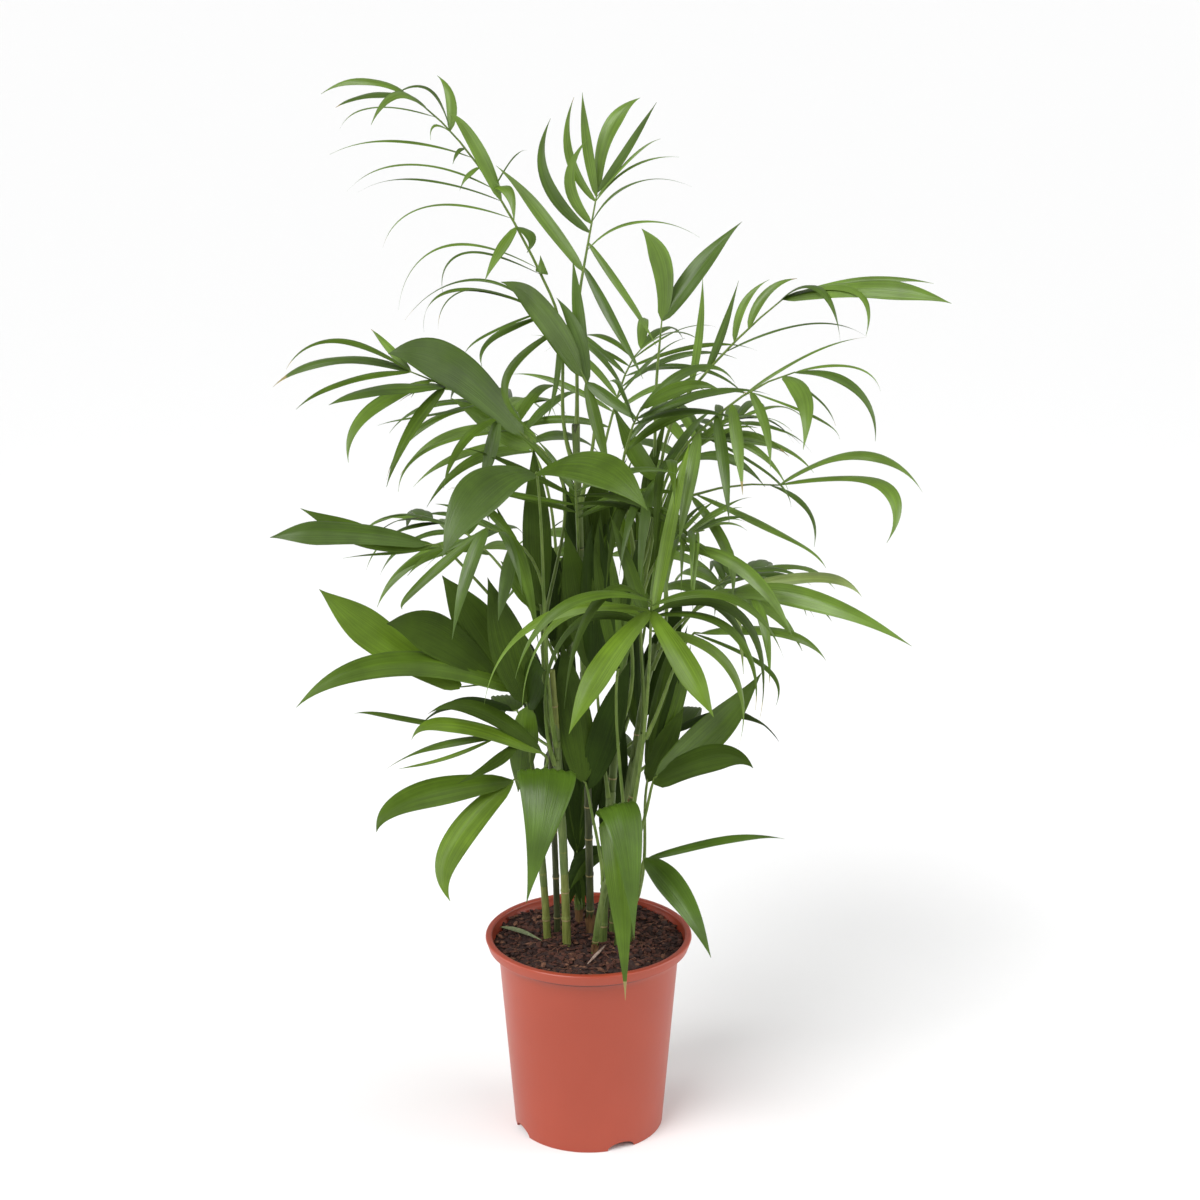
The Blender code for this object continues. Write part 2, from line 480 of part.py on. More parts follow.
              blades=[blade(1.0, (0.085, 0.055, 0.672), 0.038, 0.0, FRONT),
                      blade(0.4, (0.035, 0.06, 0.66), 0.034, 0.0, FRONT)]),
        Frond("inner_centre", "b", 0.36, (0.008, -0.03, 0.49), (0.006, -0.038, 0.505), toward=-90,
              blades=[blade(1.0, (0.012, -0.03, 0.66), 0.036, 0.0, FRONT),
                      blade(0.4, (-0.02, -0.02, 0.64), 0.034, 0.0, FRONT)]),
        Frond("inner_left", "g", 0.44, (-0.045, -0.02, 0.55), (-0.047, -0.03, 0.565), toward=-90,
              blades=[blade(1.0, (-0.052, 0.0, 0.715), 0.028, 0.0, FRONT),
                      blade(0.4, (-0.085, 0.0, 0.60), 0.020, 0.0, FRONT),
                      blade(0.5, (-0.091, 0.00, 0.659), 0.013, -0.017, FRONT, 0.009)]),
        Frond("inner_low", "h", 0.28, (0.0, -0.03, 0.37), (-0.005, -0.035, 0.385), toward=-90,
              blades=[blade(1.0, (-0.03, -0.01, 0.52), 0.036, 0.0, FRONT),
                      blade(0.4, (0.02, -0.01, 0.51), 0.032, 0.0, FRONT)]),
        Frond("inner_low_left", "e", 0.38, (-0.058, -0.035, 0.455), (-0.060, -0.045, 0.47), toward=-90,
              blades=[blade(1.0, (-0.095, -0.06, 0.60), 0.038, 0.0, FRONT),
                      blade(0.4, (-0.04, -0.10, 0.52), 0.036, 0.03, FRONT),
                      blade(0.5, (-0.070, -0.01, 0.364), 0.028, 0.0, FRONT)]),
        Frond("inner_low_right", "k", 0.25, (0.058, 0.01, 0.36), (0.062, 0.01, 0.38), toward=0,
              blades=[blade(1.0, (0.085, 0.03, 0.53), 0.038, 0.0, FRONT),
                      blade(0.4, (0.095, 0.0, 0.45), 0.024, 0.0, FRONT)]),
        Frond("inner_back_left", "i", 0.40, (-0.030, 0.06, 0.48), (-0.033, 0.06, 0.50), toward=180,
              blades=[blade(1.0, (-0.045, 0.05, 0.62), 0.038, 0.0, FRONT),
                      blade(0.4, (-0.005, 0.05, 0.63), 0.038, 0.0, FRONT)]),
        Frond("inner_back_right", "j", 0.38, (0.05, 0.06, 0.40), (0.053, 0.06, 0.42), toward=0,
              blades=[blade(1.0, (0.095, 0.06, 0.55), 0.036, 0.0, FRONT),
                      blade(0.4, (0.03, 0.055, 0.56), 0.036, 0.0, FRONT)]),
        Frond("inner_back_low", "i", 0.32, (-0.035, 0.05, 0.38), (-0.040, 0.05, 0.40), toward=180,
              blades=[blade(1.0, (-0.075, 0.04, 0.52), 0.038, 0.0, FRONT),
                      blade(0.4, (-0.02, 0.05, 0.50), 0.034, 0.0, FRONT)]),
        Frond("cross_centre", "a", 0.48, (-0.010, -0.035, 0.650), (-0.012, -0.075, 0.695), toward=-90,
              left=side(3, 0.130, 0.010, spread=(85, 40), lift=10, droop=0.5, face=LEAN),
              right=side(3, 0.120, 0.009, spread=(85, 40), lift=25, droop=0.1, face=LEAN)),
        Frond("cross_right", "b", 0.44, (0.050, -0.01, 0.660), (0.085, -0.03, 0.705), arch=0.01,
              left=side(3, 0.120, 0.009, spread=(75, 40), lift=25, droop=0.2, face=LEAN),
              right=side(3, 0.125, 0.011, spread=(80, 45), lift=5, droop=1.1, face=FRONT),
              blades=[blade(0.5, (0.023, -0.01, 0.759), 0.019, -0.020, FRONT)]),
        Frond("inner_foot_back", "i", 0.225, (-0.012, 0.034, 0.270), (-0.012, 0.033, 0.285), toward=-90,
              blades=[blade(1.0, (-0.032, 0.033, 0.450), 0.036, 0.0, FRONT, base=0.4, fullest=0.4),
                      blade(0.6, (0.010, 0.034, 0.420), 0.032, 0.0, FRONT, base=0.4, fullest=0.4),
                      blade(0.9, (-0.004, 0.022, 0.222), 0.016, 0.0, FRONT),
                      blade(0.3, (-0.022, 0.024, 0.224), 0.014, 0.0, FRONT)]),
        Frond("inner_foot_right", "j", 0.225, (0.018, 0.033, 0.275), (0.018, 0.032, 0.290), toward=-90,
              blades=[blade(1.0, (0.034, 0.036, 0.440), 0.028, 0.0, FRONT, base=0.4, fullest=0.4),
                      blade(0.6, (-0.026, 0.012, 0.25), 0.026, 0.02, FRONT)]),
        Frond("fill_back", "a", 0.50, (0.000, 0.03, 0.560), (0.000, 0.04, 0.590), toward=90,
              blades=[blade(1.0, (0.015, 0.02, 0.695), 0.030, 0.0, FRONT),
                      blade(0.6, (-0.02, 0.02, 0.690), 0.030, 0.0, FRONT),
                      blade(0.3, (0.045, 0.03, 0.700), 0.026, 0.0, FRONT)]),
        Frond("fill_centre", "d", 0.32, (0.028, -0.055, 0.500), (0.030, -0.065, 0.510), toward=-90,
              blades=[blade(1.0, (0.010, -0.06, 0.655), 0.028, 0.0, FRONT),
                      blade(0.5, (0.050, -0.065, 0.650), 0.026, 0.0, FRONT)]),
        Frond("back_high_left", "i", 0.50, (-0.055, 0.12, 0.68), (-0.12, 0.20, 0.725), arch=0.03,
              left=side(5, 0.13, 0.012, droop=0.5), right=side(5, 0.13, 0.012, droop=0.5),
              blades=[blade(1.0, (-0.19, 0.26, 0.71), 0.012, 0.03),
                      blade(1.0, (-0.15, 0.29, 0.70), 0.012, 0.03)]),
        Frond("back_high", "i", 0.49, (0.02, 0.14, 0.70), (0.055, 0.22, 0.77), arch=0.03,
              left=side(4, 0.13, 0.009, lift=25, droop=0.4), right=side(4, 0.13, 0.009, lift=25, droop=0.4),
              blades=[blade(1.0, (0.06, 0.30, 0.78), 0.012, 0.03),
                      blade(1.0, (0.10, 0.28, 0.77), 0.012, 0.03)]),
        Frond("back_high_right", "j", 0.44, (0.09, 0.13, 0.66), (0.155, 0.19, 0.70), arch=0.03,
              left=side(5, 0.13, 0.012, droop=0.5), right=side(5, 0.11, 0.012, droop=0.5),
              blades=[blade(1.0, (0.23, 0.22, 0.69), 0.012, 0.03),
                      blade(1.0, (0.19, 0.27, 0.69), 0.012, 0.03)]),
        Frond("back_mid_left", "i", 0.44, (-0.10, 0.13, 0.57), (-0.17, 0.20, 0.59), arch=0.02,
              left=side(4, 0.11, 0.016, droop=0.5), right=side(4, 0.11, 0.016, droop=0.5),
              blades=[blade(1.0, (-0.25, 0.22, 0.56), 0.02, 0.03),
                      blade(1.0, (-0.20, 0.28, 0.56), 0.02, 0.03)]),
        Frond("back_mid", "j", 0.43, (0.02, 0.18, 0.55), (0.03, 0.25, 0.57), arch=0.02,
              left=side(4, 0.13, 0.016, droop=0.5), right=side(4, 0.13, 0.016, droop=0.5),
              blades=[blade(1.0, (-0.01, 0.33, 0.55), 0.02, 0.03),
                      blade(1.0, (0.07, 0.33, 0.55), 0.02, 0.03)]),
        Frond("back_mid_right", "j", 0.40, (0.12, 0.12, 0.53), (0.17, 0.17, 0.54), arch=0.02,
              left=side(4, 0.11, 0.016, droop=0.5), right=side(4, 0.11, 0.016, droop=0.5),
              blades=[blade(1.0, (0.26, 0.18, 0.52), 0.02, 0.03),
                      blade(1.0, (0.20, 0.26, 0.51), 0.02, 0.03)]),
        Frond("back_low_left", "i", 0.36, (-0.07, 0.11, 0.40), (-0.08, 0.12, 0.405),
              blades=[blade(1.0, (-0.19, 0.15, 0.36), 0.03, 0.05),
                      blade(1.0, (-0.10, 0.25, 0.34), 0.034, 0.05)]),
        Frond("back_low", "i", 0.30, (0.0, 0.12, 0.35), (0.0, 0.13, 0.360), arch=0.001,
              blades=[blade(1.0, (-0.05, 0.22, 0.28), 0.036, 0.06),
                      blade(1.0, (0.05, 0.23, 0.30), 0.034, 0.06)]),
        Frond("back_low_right", "j", 0.33, (0.08, 0.10, 0.38), (0.09, 0.11, 0.385),
              blades=[blade(1.0, (0.20, 0.12, 0.37), 0.03, 0.05),
                      blade(1.0, (0.12, 0.24, 0.34), 0.032, 0.05)]),
    ]


def material(name, colour, roughness):
    made = bpy.data.materials.new(name)
    made.use_nodes = True
    shader = made.node_tree.nodes["Principled BSDF"]
    shader.inputs["Base Color"].default_value = (*colour, 1.0)
    shader.inputs["Roughness"].default_value = roughness
    made.diffuse_color = (*colour, 1.0)
    return made


def mesh_object(name, vertices, faces, smooth=False):
    mesh = bpy.data.meshes.new(name)
    mesh.from_pydata([tuple(vertex) for vertex in vertices], [], faces)
    shell = bmesh.new()
    shell.from_mesh(mesh)
    bmesh.ops.recalc_face_normals(shell, faces=shell.faces)
    bmesh.ops.triangulate(shell, faces=shell.faces)
    shell.to_mesh(mesh)
    shell.free()
    for polygon in mesh.polygons:
        polygon.use_smooth = smooth
    made = bpy.data.objects.new(name, mesh)
    bpy.context.scene.collection.objects.link(made)
    return made


def applied(target, operation, tools, solver="EXACT"):
    """Join the tool objects to the target, or cut them from it, and remove them."""
    group = bpy.data.collections.new(target.name + "_tools")
    bpy.context.scene.collection.children.link(group)
    for tool in tools:
        bpy.context.scene.collection.objects.unlink(tool)
        group.objects.link(tool)
    change = target.modifiers.new("join", "BOOLEAN")
    change.operation = operation
    change.operand_type = "COLLECTION"
    change.collection = group
    change.solver = solver
    graph = bpy.context.evaluated_depsgraph_get()
    result = bpy.data.meshes.new_from_object(target.evaluated_get(graph))
    target.modifiers.clear()
    target.data = result
    for tool in tools:
        bpy.data.objects.remove(tool)
    bpy.data.collections.remove(group)


def lathe(profile, steps):
    """Closed solid of revolution about Z from a closed outline of (radius, height) pairs."""
    vertices = []
    rings = []
    for radius, z in profile:
        if radius == 0:
            rings.append([len(vertices)] * steps)
            vertices.append((0.0, 0.0, z))
            continue
        rings.append(list(range(len(vertices), len(vertices) + steps)))
        for step in range(steps):
            angle = 2 * math.pi * step / steps
            vertices.append((radius * math.cos(angle), radius * math.sin(angle), z))
    faces = []
    for upper, lower in zip(rings, rings[1:] + rings[:1]):
        for step in range(steps):
            after = (step + 1) % steps
            corners = [upper[step], lower[step], lower[after], upper[after]]
            corners = [corner for place, corner in enumerate(corners) if corner not in corners[:place]]
            if len(corners) > 2:
                faces.append(corners)
    return vertices, faces


def flare_bends():
    """Heights of the bends in the wall under the rim band, from the top down."""
    return [POT_HEIGHT - RIM_DROP - FLARE_HEIGHT * share for share in FLARE_SHARES]


def pot_profile():
    """Outline from the rim down the outer side, under the pot and up the inner side."""
    skirt_foot = POT_HEIGHT - RIM_DROP
    groove_top = skirt_foot + RIM_GROOVE_DEPTH
    skirt_radius = RIM_RADIUS - RIM_TAPER
    channel_outer = BODY_BASE_RADIUS - FOOT_WIDTH
    channel_top = CHANNEL_DEPTH + FLOOR
    return [
        (RIM_INNER_RADIUS + RIM_BEAD, POT_HEIGHT),
        (RIM_RADIUS - RIM_BEAD, POT_HEIGHT),
        (RIM_RADIUS, POT_HEIGHT - RIM_BEAD),
        (skirt_radius, skirt_foot),
        (skirt_radius - WALL, skirt_foot),
        (skirt_radius - WALL, groove_top),
        (RIM_INNER_RADIUS + RIM_BEAD, groove_top),
        *[(outer_radius(z), z) for z in flare_bends()],
        (BODY_BASE_RADIUS, 0.0),
        (channel_outer, 0.0),
        (channel_outer - CHANNEL_SLANT, CHANNEL_DEPTH),
        (UNDERSIDE_PAD_RADIUS + CHANNEL_SLANT, CHANNEL_DEPTH),
        (UNDERSIDE_PAD_RADIUS, 0.0),
        (0.0, 0.0),
        (0.0, FLOOR),
        (UNDERSIDE_PAD_RADIUS - WALL, FLOOR),
        (UNDERSIDE_PAD_RADIUS, channel_top),
        (inner_radius(channel_top), channel_top),
        *[(inner_radius(z), z) for z in reversed(flare_bends())],
        (RIM_INNER_RADIUS - RIM_INNER_LIP, groove_top),
        (RIM_INNER_RADIUS, POT_HEIGHT - RIM_BEAD),
    ]


def rod(name, start, end, radius, sides, flatten=1.0):
    """Straight rod with a round or flattened section, used to cut openings."""
    axis = unit(end - start)
    across = unit(np.cross(axis, UP)) if abs(axis[2]) < 0.9 else np.array((1.0, 0.0, 0.0))
    upward = np.cross(across, axis) * flatten
    vertices = []
    for centre in (start, end):
        for step in range(sides):
            angle = 2 * math.pi * (step + 0.5) / sides
            vertices.append(centre + (across * math.cos(angle) + upward * math.sin(angle)) * radius)
    faces = [list(range(sides)), list(range(sides, 2 * sides))]
    for step in range(sides):
        after = (step + 1) % sides
        faces.append([step, after, sides + after, sides + step])
    return mesh_object(name, vertices, faces)


def make_pot():
    """Pot with its flared rim band, grooved underside, drain notches in the foot and drain holes."""
    vertices, faces = lathe(pot_profile(), ROUND_STEPS)
    pot = mesh_object("pot", vertices, faces, smooth=True)
    cutters = []
    for number in range(NOTCH_COUNT):
        way = heading(FIRST_NOTCH_ANGLE + 360 * number / NOTCH_COUNT)
        flatten = NOTCH_HEIGHT / (NOTCH_WIDTH / 2)
        inside = way * (BODY_BASE_RADIUS - FOOT_WIDTH - NOTCH_INWARD)
        outside = way * (BODY_BASE_RADIUS + NOTCH_OUTWARD)
        cutters.append(rod("notch", inside, outside, NOTCH_WIDTH / 2, 12, flatten))
    middle = (UNDERSIDE_PAD_RADIUS + BODY_BASE_RADIUS - FOOT_WIDTH) / 2
    for number in range(DRAIN_HOLE_COUNT):
        centre = heading(360 * (number + 0.5) / DRAIN_HOLE_COUNT) * middle
        cutters.append(rod("hole", centre, centre + UP * 0.02, DRAIN_HOLE_RADIUS, 8))
    applied(pot, "DIFFERENCE", cutters)
    pot.data.materials.append(material("terracotta_plastic", TERRACOTTA, 0.4))
    return pot


def make_soil():
    """Potting mix that fills the pot and rises a little toward the middle."""
    bottom = CHANNEL_DEPTH + FLOOR + SEAT_GAP
    pad = UNDERSIDE_PAD_RADIUS
    profile = [(SOIL_RADIUS, SOIL_EDGE_HEIGHT),
               *[(inner_radius(z) - SIDE_GAP, z) for z in flare_bends()],
               (inner_radius(bottom) - SEAT_GAP, bottom),
               (pad - SEAT_GAP, bottom),
               (pad - WALL - SEAT_GAP, FLOOR + SEAT_GAP),
               (0.0, FLOOR + SEAT_GAP)]
    for share in (0.0, 0.35, 0.7):
        radius = share * SOIL_RADIUS
        profile.append((radius, soil_height(radius, 0.0)))
    vertices, faces = lathe(profile, ROUND_STEPS)
    soil = mesh_object("soil", vertices, faces, smooth=True)
    soil.data.materials.append(material("potting_mix", POTTING_MIX, 0.95))
    return soil


def tube(points, radii, sides):
    """Closed tube through the points, with its own radius at each of them."""
    vertices = []
    faces = [list(range(sides))]
    for place, (point, radius) in enumerate(zip(points, radii)):
        before = points[max(place - 1, 0)]
        after = points[min(place + 1, len(points) - 1)]
        run = unit(after - before)
        across = unit(np.cross(run, (0.31, 0.95, 0.02)))
        upward = np.cross(across, run)
        for step in range(sides):
            angle = 2 * math.pi * (step + 0.5) / sides
            vertices.append(point + (across * math.cos(angle) + upward * math.sin(angle)) * radius)
        if place:
            low = (place - 1) * sides
            for step in range(sides):
                turn = (step + 1) % sides
                faces.append([low + step, low + turn, low + sides + turn, low + sides + step])
    faces.append(list(range(len(vertices) - sides, len(vertices))))
    return vertices, faces


def cane_solid(cane):
    shares = [step / CANE_STEPS for step in range(CANE_STEPS + 1)]
    points = [cane.point(share) for share in shares]
    return tube(points, [cane.radius(share) for share in shares], CANE_SIDES)


def rib_solid(frond, grow=0.0):
    points = []
    radii = []
    for step in range(PETIOLE_STEPS):
        share = step / PETIOLE_STEPS
        points.append(frond.petiole(share))
        radii.append(RIB_RADIUS_AT_CANE + (RIB_RADIUS_AT_KNEE - RIB_RADIUS_AT_CANE) * share + grow)
    steps = frond.rib_steps()
    for step in range(steps + 1):
        share = step / steps
        points.append(frond.rib(share))
        radii.append(RIB_RADIUS_AT_KNEE + (RIB_RADIUS_AT_TIP - RIB_RADIUS_AT_KNEE) * share + grow)
    return tube(points, radii, RIB_SIDES)


def leaf_solid(leaf, grow=0.0):
    """Thin closed blade, pointed at its root and tip, with a raised middle at its stations."""
    thickness = leaf.length() * LEAF_THICKNESS_SHARE
    vertices = [leaf.spot(0.0)]
    stations = BROAD_LEAF_STATIONS if leaf.base > 0.4 and leaf.width > 0.018 else LEAF_STATIONS
    for u in stations:
        run, across, over = leaf.axes(u)
        centre = leaf.spot(u)
        half = leaf.width_at(u) / 2 + grow
        vertices.append(centre - across * half - over * grow)
        vertices.append(centre + across * half - over * grow)
        vertices.append(centre + over * (thickness + grow))
    vertices.append(leaf.spot(1.0) + slope(leaf.curve, 1.0) * grow)
    last = len(vertices) - 1
    faces = []
    for corner in range(3):
        after = (corner + 1) % 3
        faces.append([0, 1 + corner, 1 + after])
        for low in range(1, last - 3, 3):
            faces.append([low + corner, low + after, low + 3 + after, low + 3 + corner])
        faces.append([last - 3 + corner, last - 3 + after, last])
    return vertices, faces


class Space:
    """Everything placed so far, kept to tell whether a new piece would touch a neighbour."""

    def __init__(self):
        self.trees = []

    def add(self, owner, vertices, faces):
        self.trees.append((owner, BVHTree.FromPolygons([tuple(v) for v in vertices], faces)))

    def touched(self, owner, vertices, faces):
        """Names of the neighbours that the piece would touch."""
        new = BVHTree.FromPolygons([tuple(v) for v in vertices], faces)
        return [other for other, tree in self.trees if other != owner and tree.overlap(new)]


def nudges(direction):
    """Small moves to try, nearest first, when a piece would touch a neighbour."""
    across = unit(np.cross(direction, UP) + (1e-6, 0, 0))
    moves = [UP * 0.0]
    for distance in (0.006, 0.012, 0.020, 0.030):
        for way in (UP, -UP, across, -across):
            moves.append(way * distance)
    return moves


def settle_ribs(space, plants):
    """Lay each petiole as close to its cane as it can lie, bowed aside where it would touch anything."""
    for frond in plants:
        foot, _, _, knee = frond.petiole_curve
        spots = [(step * SEAT_STEP, move) for move in nudges(knee - foot) for step in range(SEAT_STEPS)]
        for apart, move in spots:
            frond.lay(apart, move)
            if not space.touched(frond.name, *rib_solid(frond, RIB_CLEARANCE)):
                break
        space.add(frond.name, *rib_solid(frond))


def settle_leaves(space, frond):
    """Leaflets of a frond that are clear of all neighbours, each moved a little if it has to be."""
    kept = []
    for leaf in frond.leaves():
        for move in nudges(leaf.curve[2] - leaf.curve[0]):
            tried = leaf.moved(move)
            if not space.touched(frond.name, *leaf_solid(tried, LEAF_CLEARANCE)):
                kept.append(tried)
                space.add(frond.name, *leaf_solid(tried))
                break
    return kept


def drop_scraps(shell):
    """Keep only the largest connected piece of a shell."""
    left = set(shell.verts)
    pieces = []
    while left:
        piece = {left.pop()}
        edge = list(piece)
        while edge:
            vertex = edge.pop()
            for link in vertex.link_edges:
                other = link.other_vert(vertex)
                if other in left:
                    left.remove(other)
                    piece.add(other)
                    edge.append(other)
        pieces.append(piece)
    pieces.sort(key=len)
    for piece in pieces[:-1]:
        bmesh.ops.delete(shell, geom=list(piece), context="VERTS")


def is_whole(shell):
    """Whether each edge joins two faces, and no face runs through another."""
    if any(len(edge.link_faces) != 2 for edge in shell.edges):
        return False
    bmesh.ops.triangulate(shell, faces=shell.faces)
    shell.faces.ensure_lookup_table()
    surface = BVHTree.FromBMesh(shell)
    corners = [set(face.verts) for face in shell.faces]
    return not any(corners[one].isdisjoint(corners[other]) for one, other in surface.overlap(surface))


def fused(frond, leaves, solver):
    """The rib and its leaflets as one solid, or None where the solver can't join them cleanly."""
    made = mesh_object("frond_" + frond.name, *rib_solid(frond))
    applied(made, "UNION", [mesh_object("leaf", *leaf_solid(leaf)) for leaf in leaves], solver)
    shell = bmesh.new()
    shell.from_mesh(made.data)
    drop_scraps(shell)
    shell.to_mesh(made.data)
    whole = is_whole(shell)
    shell.free()
    if whole:
        return made
    bpy.data.objects.remove(made)
    return None


def make_frond(frond, leaves):
    """Fuse a frond, with one leaflet fewer each time that neither solver can join them all."""
    made = None
    while made is None:
        made = fused(frond, leaves, "EXACT") or fused(frond, leaves, "MANIFOLD")
        leaves = leaves[:-1]
    made.data.materials.clear()
    made.data.materials.append(material("leaf_green_" + frond.name, LEAF_COLOUR, 0.45))


def make_canes(space):
    for name, spec in CANES.items():
        vertices, faces = cane_solid(Cane(*spec))
        made = mesh_object("cane_" + name, vertices, faces, smooth=True)
        made.data.materials.append(material("cane_green_" + name, CANE_COLOUR, 0.45))
        space.add("cane", vertices, faces)


def main():
    for leftover in list(bpy.data.objects):
        bpy.data.objects.remove(leftover)
    space = Space()
    for made in (make_pot(), make_soil()):
        space.add(made.name, [vertex.co for vertex in made.data.vertices],
                  [list(polygon.vertices) for polygon in made.data.polygons])
    make_canes(space)
    plants = fronds()
    settle_ribs(space, plants)
    for frond in plants:
        make_frond(frond, settle_leaves(space, frond))


main()
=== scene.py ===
"""Looks of the potted bamboo palm, grown again from the same rules as its solids.

Metres, +Z up. The origin is the middle of the pot's flat underside, and the plant's front faces -Y.
"""
import math
import random

import bmesh
import bpy
import numpy as np
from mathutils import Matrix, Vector
from mathutils.bvhtree import BVHTree


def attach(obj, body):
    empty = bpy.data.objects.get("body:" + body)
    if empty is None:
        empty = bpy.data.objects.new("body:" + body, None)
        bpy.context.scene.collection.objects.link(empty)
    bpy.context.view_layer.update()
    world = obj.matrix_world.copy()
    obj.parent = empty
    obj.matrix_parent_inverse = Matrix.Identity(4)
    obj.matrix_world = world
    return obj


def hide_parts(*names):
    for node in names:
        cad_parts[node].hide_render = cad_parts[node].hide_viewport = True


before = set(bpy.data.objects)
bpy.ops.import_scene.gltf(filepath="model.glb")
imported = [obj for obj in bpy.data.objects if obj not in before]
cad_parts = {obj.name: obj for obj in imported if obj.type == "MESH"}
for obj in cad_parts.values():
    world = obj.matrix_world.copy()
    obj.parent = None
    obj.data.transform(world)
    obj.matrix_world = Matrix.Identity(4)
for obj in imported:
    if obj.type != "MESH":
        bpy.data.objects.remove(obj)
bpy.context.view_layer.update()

# Pot
POT_HEIGHT = 0.208
RIM_RADIUS = 0.105
RIM_INNER_RADIUS = 0.098
RIM_DROP = 0.0115
RIM_GROOVE_DEPTH = 0.004
RIM_TAPER = 0.0030
FLARE_HEIGHT = 0.012
FLARE_WIDTH = 0.0047
BODY_TOP_RADIUS = 0.0923
BODY_BASE_RADIUS = 0.0763
WALL = 0.0020
FOOT_WIDTH = 0.0045
UNDERSIDE_PAD_RADIUS = 0.052
CHANNEL_DEPTH = 0.006
FLOOR = 0.0035
NOTCH_COUNT = 4
NOTCH_WIDTH = 0.030
NOTCH_HEIGHT = 0.008
FIRST_NOTCH_ANGLE = -64.0
DRAIN_HOLE_COUNT = 6
DRAIN_HOLE_RADIUS = 0.005
ROUND_STEPS = 160

# Soil
SOIL_EDGE_HEIGHT = 0.2000
SOIL_RADIUS = 0.0962
SOIL_RISE = 0.0020
SEAT_GAP = 0.0003
SOIL_RINGS = 56
SOIL_SPOKES = 168
CHIP_COUNT = 2400
FIBRE_COUNT = 170
SCRAP_ENDS = ((-0.0927, 0.0322), (-0.0471, -0.0172))
STICK_ENDS = ((0.0170, -0.0230), (-0.0010, -0.0640))
STICK_RADIUS = 0.0016
MIX_COLOURS = {
    "dark": ((0.012, 0.0042, 0.003), (0.040, 0.013, 0.008), 6),
    "red": ((0.034, 0.010, 0.005), (0.092, 0.028, 0.015), 6),
    "tan": ((0.080, 0.031, 0.016), (0.190, 0.085, 0.046), 1),
}

# Canes and fronds
CANE_SIDES = 6
CANE_BOW = (0.25, 0.25, 0.5)
PETIOLE_STEPS = 14
PETIOLE_LAUNCH = 0.35
PETIOLE_STIFFNESS = 0.35
RIB_SIDES = 4
RIB_RADIUS_AT_CANE = 0.0020
RIB_RADIUS_AT_KNEE = 0.0014
RIB_RADIUS_AT_TIP = 0.0007
CANE_FLAT = math.cos(math.pi / CANE_SIDES)
RIB_FLAT = math.cos(math.pi / RIB_SIDES)
SEAT_STEP = 0.0002
SEAT_STEPS = 8
GOLDEN_ANGLE = 2.4
LEAST_TURN = 0.05
SPREAD_WANDER = 12.0
LIFT_WANDER = 16.0
REACH_WANDER = 0.14
DROOP_WANDER = 0.35
SINGLE_HOOK = 0.58
BLADE_SETBACK = 0.0015
BLADE_STAGGER = 0.0025
LEAF_STATIONS = (0.25, 0.65)
BROAD_LEAF_STATIONS = (0.1, 0.4, 0.75)
SAME_PLACE = 0.0015
STALK_SHARE = 0.30
STALK_RUN = 0.07
TIP_FINENESS = 1.15
TIP_HOOK = 0.02
NARROW = 0.0065
SPLIT_WIDTH = 0.014
SPLIT_FRONDS = ("inner", "cross", "fill")

# Camera
CAMERA_PLACE = (0.0116, -2.2, 1.1946)
CAMERA_DIP = 16.08
CAMERA_ANGLE = 28.73
PLANT_MIDDLE = (0.0, 0.0, 0.55)

# Directions
UP = np.array((0.0, 0.0, 1.0))
EAST = np.array((1.0, 0.0, 0.0))
SKY = UP
FRONT = np.array((0.0, -0.8, 0.6))
LEAN = np.array((0.0, -0.5, 0.85))


def unit(vector):
    return vector / np.linalg.norm(vector)


def bend(points, t):
    """Point at t on the smooth curve from the first point to the last, drawn toward those between."""
    while len(points) > 1:
        points = [first + (second - first) * t for first, second in zip(points, points[1:])]
    return points[0]


def slope(points, t):
    """Direction of the same curve at t."""
    while len(points) > 2:
        points = [first + (second - first) * t for first, second in zip(points, points[1:])]
    return unit(points[1] - points[0])


def heading(degrees):
    angle = math.radians(degrees)
    return np.array((math.cos(angle), math.sin(angle), 0.0))


def soil_height(x, y):
    share = (x * x + y * y) / SOIL_RADIUS ** 2
    return SOIL_EDGE_HEIGHT + SOIL_RISE * (1 - share)


def outer_radius(z):
    """Radius of the pot's outer wall at height z: a straight taper that flares just under the rim band."""
    skirt_foot = POT_HEIGHT - RIM_DROP
    straight = BODY_BASE_RADIUS + (BODY_TOP_RADIUS - BODY_BASE_RADIUS) * z / skirt_foot
    rise = max(1 - (skirt_foot - z) / FLARE_HEIGHT, 0.0)
    return straight + FLARE_WIDTH * rise * rise


def inner_radius(z):
    return outer_radius(z) - WALL


class Cane:
    """A cane that stands on the soil, its lowest edge just clear of it, and leans out in a slow curve."""

    def __init__(self, foot, top, thick, thin):
        self.top = np.array(top)
        ground = np.array((foot[0], foot[1], soil_height(*foot) + SEAT_GAP))
        lean = unit((self.top - ground) * CANE_BOW)
        self.foot = ground + UP * thick * np.linalg.norm(lean[:2])
        self.curve = [self.foot, self.foot + (self.top - self.foot) * CANE_BOW, self.top]
        self.thick = thick
        self.thin = thin

    def point(self, t):
        return bend(self.curve, t)

    def radius(self, t):
        return self.thick + (self.thin - self.thick) * t

    def share_at(self, z):
        return min(max((z - self.foot[2]) / (self.top[2] - self.foot[2]), 0.0), 1.0)


